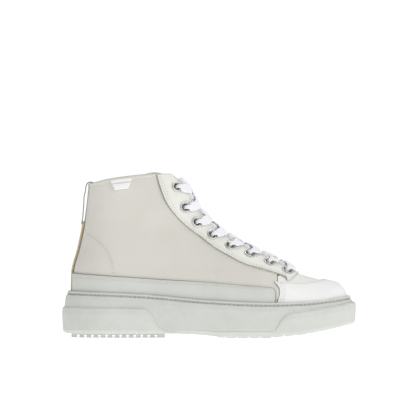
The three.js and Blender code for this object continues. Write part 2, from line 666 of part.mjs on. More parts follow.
// The turn through an eyelet, from the strap that lies over the flange to the one beneath.
const eyeletTurn = (level, side) => {
  const { point, normal } = onEyeletLine(level, side, eyeletSetBack);
  const forward = throatPlace(level, side).point.sub(point).projectOnPlane(normal).normalize();
  const backward = forward.clone().negate();
  const inward = normal.clone().negate();
  const at = (ahead, height, facing, size) => ({
    point: point.clone().addScaledVector(forward, ahead).addScaledVector(normal, height),
    facing, size });
  const tilted = normal.clone().add(backward).normalize();
  const tucked = backward.clone().sub(normal).normalize();
  return [
    at(6, flangeTop + clearOfRim, normal, flat),
    at(3.6, flangeTop + clearOfRim + 0.7, normal, folded),
    at(1, flangeTop + 1, tilted, round), at(0, flangeTop - 1.2, backward, round),
    at(0, barrelEnd + 0.8, backward, round), at(1.1, barrelEnd - 1.1, tucked, round),
    at(3.4, barrelEnd - clearOfRim - 0.6, inward, folded),
    at(6, barrelEnd - clearOfRim - 0.2, inward, flat)];
};
const emergeShare = 0.15;
// The part of a strap between the throat edges, from over one edge to under the other.
const crossing = (overLevel, overSide, underLevel, lift) => {
  const step = (underLevel - overLevel) * emergeShare;
  const over = throatPlace(overLevel + step, overSide);
  const under = throatPlace(underLevel - step, -overSide);
  const straight = share => new THREE.Vector3().lerpVectors(
    over.point.clone().addScaledVector(over.normal, overEdge),
    under.point.clone().addScaledVector(under.normal, overEdge), share);
  const top = surface(1, eyeletRow((overLevel + underLevel) / 2)).normal;
  const hump = (share, height) => ({
    point: straight(share).addScaledVector(top, height), facing: top, size: flat });
  return [
    { point: over.point.clone().addScaledVector(over.normal, overEdge)
      .addScaledVector(over.forward, 0.8),
    facing: over.normal, size: flat },
    hump(0.2, lift + 0.5), hump(0.5, lift), hump(0.72, lift - 0.15),
    { point: under.point.clone().addScaledVector(under.normal, underEdge)
      .addScaledVector(under.forward, 2.9),
    facing: under.normal, size: flat }];
};
const endLevel = -0.45;            // the lace's ends go in under the flaps, above the eyelets
const tailSetBack = eyeletSetBack + 11;
const tail = side => [[4, 1], [3.2, 1], [2.4, 1], [1.6, 1], [0.9, 1], [0.35, 0.95], [-0.05, 0.85],
  [-0.35, 0.68], [endLevel + 0.03, 0.45], [endLevel + 0.05, 0.22]].map(([level, back]) => {
  const { point, normal } = onEyeletLine(level, side, tailSetBack * back);
  const depth = mix(underEdge, liningTo - 0.45 - laceHalf, smoothstep(back, 0.3, 0.9));
  return { point: point.clone().addScaledVector(normal, depth), facing: normal, size: flat };
});
const upperLift = 1.5;
const lowerLift = -0.6;
const lastLevel = eyeletCount - 1;
let laceSide = -1;
const route = [...tail(laceSide)];
for (let level = 0; level <= lastLevel; level += 1) {
  route.push(...crossing(level, -laceSide, level ? level - 1 : endLevel, upperLift).reverse());
  laceSide = -laceSide;
  route.push(...eyeletTurn(level, laceSide));
}
const barFrom = throatPlace(lastLevel, laceSide);
const barTo = throatPlace(lastLevel, -laceSide);
const barTop = surface(1, eyeletRow(lastLevel)).normal;
const barLift = 1.1;
for (const share of [0, 0.3, 0.7, 1]) {
  const edges = [barFrom, barTo].map(edge => (
    edge.point.clone().addScaledVector(edge.normal, underEdge)));
  route.push({ point: new THREE.Vector3().lerpVectors(edges[0], edges[1], share)
    .addScaledVector(barTop, share > 0 && share < 1 ? barLift : 0), facing: barTop, size: flat });
}
laceSide = -laceSide;
for (let level = lastLevel; level >= 0; level -= 1) {
  route.push(...eyeletTurn(level, laceSide).reverse());
  route.push(...crossing(level, laceSide, level ? level - 1 : endLevel, lowerLift));
  laceSide = -laceSide;
}
route.push(...tail(laceSide).reverse());

let facingBefore = route[0].facing;
const laceSections = route.map(({ point, facing, size: [wide, thick] }, k) => {
  const before = route[Math.max(0, k - 1)].point;
  const after = route[Math.min(route.length - 1, k + 1)].point;
  const along = after.clone().sub(before).normalize();
  const out = facing.clone().addScaledVector(along, -facing.dot(along)).normalize();
  if (out.dot(facingBefore) < 0) out.negate();
  facingBefore = out.clone();
  const across = new THREE.Vector3().crossVectors(along, out);
  const corner = Math.min(thick, wide / 2);
  return [[wide, 0], [wide - corner, thick], [corner - wide, thick], [-wide, 0],
    [corner - wide, -thick], [wide - corner, -thick]].map(([a, b]) => (
    point.clone().addScaledVector(across, a).addScaledVector(out, b)));
});
add('lace', 'lace', sweep(laceSections));
const agletLength = 18;
const agletSections = (tip, next) => {
  const along = tip.point.clone().sub(next.point).normalize();
  const across = new THREE.Vector3().crossVectors(along, tip.facing).normalize();
  return [gap, agletLength].map(distance => [[3.2, 0], [2.4, 0.7], [-2.4, 0.7], [-3.2, 0],
    [-2.4, -0.7], [2.4, -0.7]].map(([a, b]) => tip.point.clone()
    .addScaledVector(along, distance).addScaledVector(across, a)
    .addScaledVector(tip.facing, b)));
};
add('aglet_lateral', 'plastic', sweep(agletSections(route[0], route[1])));
add('aglet_medial', 'plastic', sweep(agletSections(route.at(-1), route.at(-2))));

// ---------------------------------------------------------------------- sole
const facetLength = 10.7;           // of the sole's outline, in plan
const soleStations = Math.round(soleLength / facetLength);   // per side
const stationShare = k => (1 - Math.cos(Math.PI * k / soleStations)) / 2;
const toeEndAt = z => bisect(v => ridgeZ(v) < z, 0, 0.15);
// A ring round the shoe: the last's outline at plan height, pushed out and set at height.
const soleRing = (offset, height, planHeight = lip) => {
  const value = (of, x) => (typeof of === 'function' ? of(x) : of);
  const half = side => Array.from({ length: soleStations + 1 }, (_, k) => {
    const share = stationShare(k);
    let x = mix(-soleLength / 2, soleLength / 2, share);
    for (let step = 0; step < 3; step += 1) {
      const z = planHeight(x);
      x = mix(heelLine(z), ridgeX(toeEndAt(z)), share);
    }
    const { point, normal } = surfaceAt(x, planHeight(x), side);
    if (k === 0 || k === soleStations) normal.setY(0);
    const out = normal.setZ(0).normalize();
    point.addScaledVector(out, value(offset, x));
    point.z = value(height, x);
    return point;
  });
  const outer = half(-1);
  const inner = half(1);
  return [...outer, ...inner.slice(1, -1).reverse()];
};
const cupWall = overlayFace + wallClearance;
const cupLip = cupWall + lipThickness;
const sideFace = cupLip + wallBulge;
const blockTopHeel = 31.5;
const blockTop = curveThrough([
  [lengthwise(0), blockTopHeel], [lengthwise(0.277), blockTopHeel - 1],
  [lengthwise(0.295), blockTopHeel - 4], [lengthwise(0.347), 7.5], [lengthwise(0.5), 7.5],
  [lengthwise(0.716), 7.5], [lengthwise(0.744), 19.2], [lengthwise(0.772), 24.9],
  [lengthwise(0.845), 28.6], [lengthwise(0.922), 32.8], [lengthwise(0.987), 38]]);
const inBlock = x => 1 - smoothstep(x, lengthwise(0.28), lengthwise(0.345))
  + smoothstep(x, lengthwise(0.715), lengthwise(0.75));
const blockFace = x => sideFace + blockProud * inBlock(x);
const lipLess = drop => x => lip(x) - drop;
const floorTop = x => underside(x) + floorThickness;
const bootBody = skin([
  soleRing(x => blockFace(x) - 4, underside), soleRing(x => blockFace(x) - 0.8, x => underside(x) + 3),
  soleRing(blockFace, x => mix(underside(x) + 3, blockTop(x), 0.7)),
  soleRing(x => blockFace(x) - 0.6, x => blockTop(x) - 0.9), soleRing(sideFace, blockTop),
  soleRing(sideFace - 0.8, lipLess(8.5)), soleRing(cupLip + 2.2, lipLess(4.6)),
  soleRing(cupLip + 1.8, lipLess(4)), soleRing(cupLip + 0.3, lipLess(3.8)),
  soleRing(cupLip + 0.3, lipLess(2)), soleRing(cupLip + 0.9, lipLess(1.8)),
  soleRing(cupLip, lip)].reverse());
const seat = skin([
  soleRing(cupWall, x => lip(x) + 2), soleRing(cupWall, lip),
  soleRing(cupWall, lipLess(featherDrop / 2), lipLess(featherDrop / 2)),
  soleRing(cupWall, feather, feather), soleRing(cupWall - 0.4, floorTop, feather)]);
const treadBottom = x => Math.max(0, Math.min(underside(x) - 0.8, underside(x) * 4 - 3.2));
const heelTreadEnd = lengthwise(0.35);
const foreTreadStart = lengthwise(0.53);
const foreTreadEnd = lengthwise(0.945);
const treadOffset = sideFace - treadInset;
const slab = (grow, bottom, top) => skin([
  soleRing(treadOffset + grow, top), soleRing(treadOffset + grow, bottom)]);
const slice = (from, to) => {
  const box = new THREE.BoxGeometry(to - from, soleWidth, soleWidth);
  return toSolid(box.translate((from + to) / 2, 0, 0));
};
const pocketTop = x => underside(x) + treadPocketDepth;
const pocketSlab = toSolid(slab(gap, x => underside(x) - 3, pocketTop));
const soleBody = toSolid(bootBody).subtract(toSolid(seat))
  .subtract(pocketSlab.intersect(slice(-soleLength, heelTreadEnd + gap)))
  .subtract(pocketSlab.intersect(slice(foreTreadStart - gap, foreTreadEnd + gap)));
add('cupsole', 'rubber', fromSolid(soleBody));

const grooved = (solid, bottom, from, to, pitch, width, depth) => {
  let body = solid;
  for (let x = from; x < to; x += pitch) {
    const floor = bottom(x) + depth;
    const box = new THREE.BoxGeometry(width, soleWidth, 10).translate(x, 0, floor - 5);
    body = body.subtract(toSolid(box));
  }
  return body;
};
const treadTop = x => pocketTop(x) - gap;
const heelSlab = toSolid(slab(0, () => 0, treadTop)).intersect(slice(-soleLength, heelTreadEnd));
add('heel_tread', 'rubber', fromSolid(grooved(
  heelSlab, () => 0, lengthwise(0.055), heelTreadEnd - 3, 7.2, 2.2, 2.8)));
const foreSlab = toSolid(slab(0, treadBottom, treadTop)).intersect(
  slice(foreTreadStart, foreTreadEnd));
add('forefoot_tread', 'rubber', fromSolid(grooved(
  foreSlab, treadBottom, lengthwise(0.555), foreTreadEnd - 6, 12, 1.8, 1.1)));

const coreTop = lipLess(featherDrop + 0.5);
const coreBody = skin([
  soleRing(cupWall - 0.8, coreTop, feather), soleRing(cupWall - 1, x => floorTop(x) + gap, feather)]);
// A narrow plate along the middle of the shoe between two height lines.
const plate = (from, to, halfAcross, top, bottom) => sweep(Array.from({ length: 9 }, (_, k) => {
  const x = mix(from, to, k / 8);
  return [[-halfAcross, bottom(x)], [halfAcross, bottom(x)], [halfAcross, top(x)],
    [-halfAcross, top(x)]].map(([y, z]) => new THREE.Vector3(x, y, z));
}));
const shankThickness = 1.6;
const shankHalfWidth = 7;
const shankFrom = lengthwise(0.24);
const shankTo = lengthwise(0.54);
const shankTop = x => coreTop(x) - gap;
add('midsole_core', 'foam', cut(coreBody, plate(
  shankFrom - gap, shankTo + gap, shankHalfWidth + gap, x => coreTop(x) + 2,
  x => shankTop(x) - shankThickness - gap)));
add('shank', 'steel', plate(
  shankFrom, shankTo, shankHalfWidth, shankTop, x => shankTop(x) - shankThickness));
const boardOffset = liningTo - 1.4;
const boardThickness = 1.6;
const boardTop = x => coreTop(x) + gap + boardThickness;
add('insole_board', 'board', skin([
  soleRing(boardOffset, boardTop, feather),
  soleRing(boardOffset, x => coreTop(x) + gap, feather)]));
const sockThickness = 3.6;
const sockOffset = liningTo - 2.2;
const sockPlan = x => feather(x) + 4;
add('sockliner', 'lining', skin([
  soleRing(sockOffset - 0.8, x => boardTop(x) + gap + sockThickness, sockPlan),
  soleRing(sockOffset, x => boardTop(x) + gap + sockThickness / 2, sockPlan),
  soleRing(sockOffset - 0.3, x => boardTop(x) + gap, sockPlan)]));
const threadRing = (offset, drop) => soleRing(offset, lipLess(drop));
const threadCorners = [[0.6, 3.3], [0.6 + threadSize, 3.3], [0.6 + threadSize, 3.3 - threadSize],
  [0.6, 3.3 - threadSize]].map(([offset, drop]) => threadRing(cupLip + offset, drop));
add('sidewall_thread', 'thread', loopBand(
  threadCorners[0].map((_, k) => threadCorners.map(ring => ring[k]))));

// Stand the shoe with the middle of its bounding box over the origin.
const bounds = new THREE.Box3().setFromObject(shoe);
const middle = bounds.getCenter(new THREE.Vector3());
shoe.position.set(-middle.x, -middle.y, -bounds.min.z);

export default shoe;
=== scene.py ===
"""A lace-up high top in canvas and leather on a stitched cupsole, dressed round its frame."""

import json
import logging
import math
from collections.abc import Callable, Sequence
from dataclasses import dataclass, field
from enum import Enum
from functools import cached_property

import bpy
import numpy as np
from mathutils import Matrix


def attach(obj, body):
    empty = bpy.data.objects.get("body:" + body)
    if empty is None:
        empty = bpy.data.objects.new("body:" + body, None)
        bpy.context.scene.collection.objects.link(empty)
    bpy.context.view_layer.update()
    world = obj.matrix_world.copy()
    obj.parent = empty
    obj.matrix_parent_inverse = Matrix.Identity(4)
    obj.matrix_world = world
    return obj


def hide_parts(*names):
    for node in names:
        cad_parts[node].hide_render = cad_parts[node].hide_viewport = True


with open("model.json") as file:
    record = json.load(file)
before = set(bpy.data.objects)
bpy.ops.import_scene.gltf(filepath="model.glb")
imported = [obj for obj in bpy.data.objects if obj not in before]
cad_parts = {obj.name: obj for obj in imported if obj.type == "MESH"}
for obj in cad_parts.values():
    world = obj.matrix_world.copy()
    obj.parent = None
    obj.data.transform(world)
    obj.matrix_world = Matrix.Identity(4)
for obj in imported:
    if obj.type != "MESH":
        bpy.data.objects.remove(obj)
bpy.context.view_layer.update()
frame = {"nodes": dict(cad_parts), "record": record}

logging.basicConfig(level=logging.INFO, format="%(message)s")
log = logging.getLogger("high_top")

Array = np.ndarray
Curve = Callable[[Array], Array]
MM = 0.001


class Side(Enum):
    """The two sides of a right shoe, with the sign of Y there."""

    LATERAL = -1
    MEDIAL = 1

    @property
    def label(self) -> str:
        """The side's name as the frame's nodes end in it."""
        return self.name.lower()


# ------------------------------------------------------------------ number helpers
def mix(low: Array, high: Array, share: Array) -> Array:
    """Goes from low to high as share goes from 0 to 1."""
    return low + (high - low) * share


def smoothstep(value: Array, low: float, high: float) -> Array:
    """Eases from 0 at low to 1 at high, as 3 s squared less 2 s cubed."""
    share = np.clip((value - low) / (high - low), 0.0, 1.0)
    return share * share * (3.0 - 2.0 * share)


def curve_through(points: Sequence[tuple[float, float]]) -> Curve:
    """A monotone cubic through points, level beyond both ends.

    Each inner tangent is the harmonic mean of the slopes beside it, or 0 at a turn.

    Args:
        points: (place, value) pairs in rising order of place.
    Returns:
        A function of an array of places.
    """
    at, value = np.array(points, float).T
    span = np.diff(at)
    slope = np.diff(value) / span
    product = slope[:-1] * slope[1:]
    total = np.where(np.abs(slope[:-1] + slope[1:]) < 1e-12, 1.0, slope[:-1] + slope[1:])
    inner = np.where(product > 0, 2.0 * product / total, 0.0)
    tangent = np.concatenate([slope[:1], inner, slope[-1:]])

    def evaluate(place: Array) -> Array:
        """The curve's value at each place."""
        t = np.clip(np.asarray(place, float), at[0], at[-1])
        i = np.clip(np.searchsorted(at, t, side="left") - 1, 0, len(span) - 1)
        s = (t - at[i]) / span[i]
        rise = value[i + 1] - value[i]
        bend = (tangent[i] + tangent[i + 1]) * span[i] - 2.0 * rise
        lean = 3.0 * rise - (2.0 * tangent[i] + tangent[i + 1]) * span[i]
        return value[i] + s * (tangent[i] * span[i] + s * (lean + s * bend))

    return evaluate


def bisect(is_before: Callable[[Array], Array], low: Array, high: Array) -> Array:
    """Halves [low, high] to where is_before turns false, for a whole array at once."""
    low, high = np.array(low, float), np.array(high, float)
    for _ in range(26):
        middle = (low + high) / 2.0
        before = is_before(middle)
        low = np.where(before, middle, low)
        high = np.where(before, high, middle)
    return (low + high) / 2.0


def unit(vectors: Array) -> Array:
    """The vectors at length 1."""
    return vectors / np.maximum(np.linalg.norm(vectors, axis=-1, keepdims=True), 1e-9)


def ripple(points: Array, wave: float, seed: float) -> Array:
    """Soft unevenness from -1 to 1: four crossed sine waves of about the given length."""
    total = 0.0
    for k in range(4):
        angle = seed + 1.7 * k
        heading = np.array([math.cos(angle), math.sin(2.3 * angle), math.sin(angle)])
        total = total + np.sin(points @ heading * 2.0 * math.pi / (wave * (1.0 + 0.37 * k)) + 5.1 * k)
    return total / 4.0


def through_points(points: Array, at: Array) -> Array:
    """Places on a curve through every point, each span a cubic set by its four nearest points.

    Args:
        points: rows of numbers, at 0, 1, 2 and so on along the curve.
        at: where along the curve the places lie.
    Returns:
        A row for each place.
    """
    index = np.clip(at.astype(int), 0, len(points) - 2)
    share = (at - index)[:, None]
    padded = np.concatenate([2 * points[:1] - points[1:2], points, 2 * points[-1:] - points[-2:-1]])
    p0, p1, p2, p3 = (padded[index + k] for k in range(4))
    return 0.5 * (2 * p1 + (p2 - p0) * share + (2 * p0 - 5 * p1 + 4 * p2 - p3) * share ** 2
                  + (3 * p1 - p0 - 3 * p2 + p3) * share ** 3)


# --------------------------------------------------------------------- the last
@dataclass(frozen=True)
class Last:
    """The shape the upper is pulled over, with the heights of sole and collar, in mm."""

    sole_length: float = 300.0
    sole_width: float = 112.0
    collar_front: float = 158.5
    collar_back: float = 156.2
    toe_top: float = 59.0
    ankle_half: float = 30.0
    lip_heel: float = 47.5
    lip_ball: float = 36.0
    lip_toe: float = 43.0
    feather_drop: float = 17.0
    toe_shift: float = 4.0
    upper_inset: float = 8.1
    width_power: float = 2.3
    heel_round: float = 42.0
    heel_power: float = 2.2
    row_power: float = 1.5
    edge_fade: float = 6.0
    ridge_steps: int = 90

    def along(self, share: float) -> float:
        """The X at a share of the length, from the heel."""
        return (share - 0.5) * self.sole_length

    def boot(self, share: float) -> float:
        """The height at a share from the toe's top to the collar's top."""
        return self.toe_top + (self.collar_back + 10.6 - self.toe_top) * share

    @cached_property
    def lip(self) -> Curve:
        """Height of the cupsole's lip along X."""
        a = self.along
        return curve_through([
            (a(0.03), self.lip_heel), (a(0.25), self.lip_heel - 2.6), (a(0.5), self.lip_ball + 2.6),
            (a(0.7), self.lip_ball), (a(0.82), self.lip_ball + 0.9), (a(0.98), self.lip_toe)])

    def feather(self, x: Array) -> Array:
        """Height of the upper's lower edge, inside the cup."""
        return self.lip(x) - self.feather_drop

    @cached_property
    def underside(self) -> Curve:
        """Height of the cupsole's underside along X."""
        a = self.along
        return curve_through([
            (a(0.02), 4.2), (a(0.36), 4.2), (a(0.47), 3.0), (a(0.56), 0.8), (a(0.7), 0.8),
            (a(0.75), 2.3), (a(0.82), 4.1), (a(0.9), 8.6), (a(0.99), 15.6)])

    @cached_property
    def heel_line(self) -> Curve:
        """X of the heel's profile at a height."""
        a, low, high = self.along, self.lip_heel, self.collar_back
        rows = [(0.0, 0.035), (0.157, 0.036), (0.41, 0.058), (0.667, 0.0765), (1.0, 0.091)]
        return curve_through([(0.0, a(0.037))] + [(low + (high - low) * s, a(x)) for s, x in rows])

    @cached_property
    def ridge_curves(self) -> tuple[Curve, Curve, float]:
        """X and Z of the toe and instep profile by share of its length, and that length."""
        a, top = self.along, self.toe_top
        caps = [(0.968, 0.61), (0.965, 0.73), (0.95, 0.873), (0.935, 0.937), (0.899, 0.987)]
        steps = [
            (0.8727, 0.007), (0.8463, 0.027), (0.8033, 0.066), (0.7723, 0.104), (0.7207, 0.184),
            (0.6623, 0.273), (0.6117, 0.352), (0.5873, 0.398), (0.553, 0.485), (0.522, 0.571),
            (0.501, 0.652), (0.4785, 0.737), (0.46, 0.84), (0.441, 0.965), (0.43, 1.0)]
        points = [(a(0.9683), self.lip_toe - self.feather_drop)]
        points += [(a(x), h * top) for x, h in caps]
        points += [(a(x), top + (self.collar_front - top) * s) for x, s in steps]
        line = np.array(points)
        spans = np.concatenate([[0.0], np.cumsum(np.hypot(*np.diff(line, axis=0).T))])
        shares = spans / spans[-1]
        return (curve_through(list(zip(shares, line[:, 0]))),
                curve_through(list(zip(shares, line[:, 1]))), float(spans[-1]))

    def ridge(self, v: Array) -> tuple[Array, Array]:
        """X and Z of the instep line at row v."""
        return self.ridge_curves[0](v), self.ridge_curves[1](v)

    @cached_property
    def ridge_line(self) -> Array:
        """The instep line as a fine chain of points."""
        v = np.linspace(0.0, 1.0, self.ridge_steps + 1)
        return np.stack(self.ridge(v), axis=-1)

    def rows_for(self, length: float) -> float:
        """The share of rows that a length along the instep takes."""
        return length / self.ridge_curves[2]

    def ridge_depth(self, x: Array, z: Array) -> Array:
        """Distance in from the instep line, negative outside it."""
        start, step = self.ridge_line[:-1], np.diff(self.ridge_line, axis=0)
        flat_x, flat_z = np.ravel(x), np.ravel(z)
        dx = flat_x[:, None] - start[:, 0]
        dz = flat_z[:, None] - start[:, 1]
        share = (dx * step[:, 0] + dz * step[:, 1]) / (step ** 2).sum(axis=1)
        low = np.where(np.arange(len(step)) == 0, -np.inf, 0.0)
        high = np.where(np.arange(len(step)) == len(step) - 1, np.inf, 1.0)
        share = np.clip(share, low, high)
        distance = np.hypot(dx - share * step[:, 0], dz - share * step[:, 1])
        best = np.argmin(distance, axis=1)
        row = np.arange(len(flat_x))
        turn = step[best, 0] * dz[row, best] - step[best, 1] * dx[row, best]
        return (np.sign(turn) * distance[row, best]).reshape(np.shape(x))

    @cached_property
    def plans(self) -> tuple[Curve, Curve]:
        """Outer and inner half widths along X, as shares of the widest."""
        a = self.along
        outer = [(0, 0.8), (0.2, 0.82), (0.35, 0.82), (0.5, 0.89), (0.66, 1), (0.8, 0.95), (1, 0.78)]
        inner = [
            (0, 0.78), (0.2, 0.8), (0.38, 0.7), (0.5, 0.73), (0.74, 0.985), (0.85, 0.93), (1, 0.8)]
        return (curve_through([(a(x), w) for x, w in outer]),
                curve_through([(a(x), w) for x, w in inner]))

    def centre_line(self, x: Array) -> Array:
        """Y of the shoe's middle, which leans to the inner side at the toe."""
        return self.toe_shift * smoothstep(x, self.along(0.76), self.along(0.97))

    def half_width(self, x: Array, z: Array, sign: Array) -> Array:
        """The half width: the plan's at the sole, going over to the ankle's above."""
        widest = self.sole_width / 2.0 - self.upper_inset
        plan = widest * np.where(sign < 0, self.plans[0](x), self.plans[1](x))
        climb = smoothstep(z, self.lip_heel, self.lip_heel + (self.collar_back - self.lip_heel) * 0.72)
        return mix(plan, self.ankle_half, climb)

    def roundness(self, x: Array, z: Array) -> Array:
        """How full the section is, 1 inside, falling to 0 at the heel and instep lines."""
        forward = smoothstep(x, self.along(0.42), self.along(0.72))
        heel = np.maximum(0.0, 1.0 - (x - self.heel_line(z)) / self.heel_round)
        depth = self.ridge_depth(x, z) / mix(66.0, 48.0, forward)
        ridge = np.maximum(0.0, 1.0 - depth)
        return (1.0 - heel ** self.heel_power) * (1.0 - ridge ** mix(1.45, 2.6, forward))

    def field(self, x: Array, y: Array, z: Array) -> Array:
        """Negative inside the last and positive outside it."""
        across = y - self.centre_line(x)
        width = self.half_width(x, z, np.where(across < 0, -1.0, 1.0))
        return (np.abs(across) / width) ** self.width_power - self.roundness(x, z)

    def surface_at(self, x: Array, z: Array, sign: Array) -> tuple[Array, Array]:
        """The point of the canvas face at side-view place (x, z), and its outward normal."""
        reach = np.maximum(0.0, self.roundness(x, z)) ** (1.0 / self.width_power)
        y = self.centre_line(x) + sign * self.half_width(x, z, sign) * reach
        step = 0.05
        slope = [self.field(x + step, y, z) - self.field(x - step, y, z),
                 self.field(x, y + step, z) - self.field(x, y - step, z),
                 self.field(x, y, z + step) - self.field(x, y, z - step)]
        return np.stack([x, y, z], axis=-1), unit(np.stack(slope, axis=-1))

    @cached_property
    def collar_line(self) -> Curve:
        """Height of the collar's edge along X."""
        a, back = self.along, self.collar_back
        rises = [(0.091, 0), (0.1613, 4.8), (0.239, 7.9), (0.319, 10.2), (0.3607, 10.6),
                 (0.383, 9.7), (0.3983, 6.9), (0.412, 4.4)]
        return curve_through([(a(x), back + r) for x, r in rises] + [(a(0.43), self.collar_front)])

    def row_back(self, v: Array) -> tuple[Array, Array]:
        """Where row v starts on the heel line."""
        z = mix(self.feather(self.along(0.036)), self.collar_back, v ** self.row_power)
        return self.heel_line(z), z

    def side_view(self, u: Array, v: Array) -> tuple[Array, Array]:
        """X and Z at share u of row v, from the heel line to the instep line."""
        u, v = np.broadcast_arrays(np.asarray(u, float), np.asarray(v, float))
        back, front = self.row_back(v), self.ridge(v)
        share = (1.0 - np.cos(np.pi * u)) / 2.0
        x = mix(back[0], front[0], share)
        one, none = np.array(1.0), np.array(0.0)

        def chord(row: Array) -> Array:
            """Height at x of the straight line between a row's two ends."""
            start, end = self.row_back(row), self.ridge(row)
            return mix(start[1], end[1], np.clip((x - start[0]) / (end[0] - start[0]), 0.0, 1.0))

        crown = self.collar_line(x) - chord(one)
        sag = self.feather(x) - chord(none)
        z = mix(back[1], front[1], share)
        return x, z + crown * v ** self.edge_fade + sag * (1.0 - v) ** self.edge_fade

    def surface(self, place: Array, v: Array) -> tuple[Array, Array]:
        """Point and normal at place (0 to 1 outer side, past 1 or below 0 inner) of row v."""
        place, v = np.broadcast_arrays(np.asarray(place, float), np.asarray(v, float))
        sign = np.where((place < 0) | (place > 1), 1.0, -1.0)
        u = np.where(place < 0, -place, np.where(place > 1, 2.0 - place, place))
        x, z = self.side_view(u, v)
        return self.surface_at(x, z, sign)

    def off_centre(self, u: Array, v: Array) -> Array:
        """Distance of the outer side's surface from the middle, at share u of row v."""
        x, z = self.side_view(u, v)
        reach = np.maximum(0.0, self.roundness(x, z)) ** (1.0 / self.width_power)
        return self.half_width(x, z, np.full_like(x, -1.0)) * reach

    def from_instep(self, distance: Array, v: Array) -> Array:
        """The share u that lies this far off the middle on the instep side of row v."""
        v = np.asarray(v, float)
        low = np.full(v.shape, 0.6)
        return bisect(lambda u: self.off_centre(u, v) > distance, low, low + 0.4)

    def from_heel(self, distance: float, v: Array) -> Array:
        """The share u that lies this far off the middle on the heel side of row v."""
        v = np.asarray(v, float)
        return bisect(lambda u: self.off_centre(u, v) < distance, np.zeros(v.shape), np.full(v.shape, 0.4))

    def row_at_x(self, x: Array, v: Array) -> Array:
        """The share u where row v passes x."""
        v = np.asarray(v, float)
        return bisect(lambda u: self.side_view(u, v)[0] < x, np.zeros(v.shape), np.ones(v.shape))

    def seam_on(self, v: Array, curve: Curve) -> Array:
        """The share u where row v meets a seam given as X by height."""
        v = np.asarray(v, float)

        def behind(u: Array) -> Array:
            """Whether the place lies behind the seam."""
            x, z = self.side_view(u, v)
            return x < curve(z)

        return bisect(behind, np.zeros(v.shape), np.ones(v.shape))

    def row_at_height(self, u: Array, height: Curve) -> Array:
        """The row that a height line passes at share u."""
        u = np.asarray(u, float)

        def below(v: Array) -> Array:
            """Whether the place lies below the line."""
            x, z = self.side_view(u, v)
            return z < height(x)

        return bisect(below, np.zeros(u.shape), np.ones(u.shape))

    def x_along(self, x: float, height: Curve) -> float:
        """The share u where a height line passes x."""
        def behind(u: Array) -> Array:
            """Whether the line's place lies behind x."""
            return self.side_view(u, self.row_at_height(u, height))[0] < x

        return float(bisect(behind, np.zeros(()), np.ones(())))


# -------------------------------------------------------------- meshes as whole arrays
SHIFT = np.array([-0.0676, -0.2451, 0.0])
ROUNDED_STEPS = (0.0, 0.12, 0.35, 0.7, 1.1, 1.6, 2.1, 2.7, 3.4, 4.1, 4.8, 5.6, 6.6)


def rim_steps(count: int, length: float, first: bool = True, last: bool = True) -> Array:
    """Shares from 0 to 1 that crowd within 7 mm of the chosen ends of a length.

    Args:
        count: even steps between the crowded ends.
        length: the real length, in mm.
        first, last: which ends are crowded.
    Returns:
        Rising shares from 0 to 1.
    """
    near = np.array(ROUNDED_STEPS) / length
    start = near if first else np.zeros(1)
    end = 1.0 - near[::-1] if last else np.ones(1)
    middle = np.linspace(start[-1], end[0], count + 1)[1:-1]
    return np.concatenate([start, middle, end])


def make_object(name: str, points: Array, faces: Sequence[Array], uv: Array | None = None,
                marks: Array | None = None) -> bpy.types.Object:
    """A smooth-shaded closed mesh, turned outward by the sign of its volume.

    Args:
        name: the piece's name.
        points: places in mm, before the shoe is centred.
        faces: arrays of quads or triangles.
        uv: a place on the cloth for each point, in mm, if the finish follows it.
        marks: the finish slot of each face, where a piece has a second finish.
    Returns:
        The linked object.
    """
    flat = (points.reshape(-1, 3) + SHIFT) * MM
    triangles = [f for f in faces if f.shape[1] == 3]
    triangles += [half for f in faces if f.shape[1] == 4 for half in (f[:, :3], f[:, [0, 2, 3]])]
    corners = flat[np.concatenate(triangles)]
    volume = np.einsum("ij,ij->i", corners[:, 0], np.cross(corners[:, 1], corners[:, 2])).sum()
    if volume < 0:
        faces = [f[:, ::-1] for f in faces]
    mesh = bpy.data.meshes.new(name)
    loops = np.concatenate([f.ravel() for f in faces]).astype(np.int32)
    sizes = np.concatenate([np.full(len(f), f.shape[1]) for f in faces])
    starts = np.concatenate([[0], np.cumsum(sizes)[:-1]]).astype(np.int32)
    mesh.vertices.add(len(flat))
    mesh.vertices.foreach_set("co", flat.ravel().astype(np.float32))
    mesh.loops.add(len(loops))
    mesh.loops.foreach_set("vertex_index", loops)
    mesh.polygons.add(len(sizes))
    mesh.polygons.foreach_set("loop_start", starts)
    mesh.update(calc_edges=True)
    mesh.validate()
    mesh.polygons.foreach_set("use_smooth", np.ones(len(mesh.polygons), bool))
    if marks is not None and len(marks) == len(mesh.polygons):
        mesh.polygons.foreach_set("material_index", marks.astype(np.int32))
    if uv is not None:
        layer = mesh.uv_layers.new(name="cloth")
        index = np.empty(len(mesh.loops), np.int32)
        mesh.loops.foreach_get("vertex_index", index)
        layer.data.foreach_set("uv", (uv.reshape(-1, 2)[index] * MM).ravel().astype(np.float32))
    made = bpy.data.objects.new(name, mesh)
    bpy.context.scene.collection.objects.link(made)
    return made


def edge_distance(points: Array, crowded: str = "bfse") -> Array:
    """Distance of each grid point to the nearest chosen border, measured along the grid.

    Args:
        points: a grid of points.
        crowded: which borders count: b and f for first and last row, s and e for columns.
    Returns:
        A grid of distances.
    """
    down = np.concatenate([np.zeros((1, points.shape[1])), np.cumsum(
        np.linalg.norm(np.diff(points, axis=0), axis=-1), axis=0)])
    over = np.concatenate([np.zeros((points.shape[0], 1)), np.cumsum(
        np.linalg.norm(np.diff(points, axis=1), axis=-1), axis=1)], axis=1)
    choices = {"b": down, "f": down[-1:] - down, "s": over, "e": over[:, -1:] - over}
    return np.minimum.reduce([choices[key] for key in crowded])


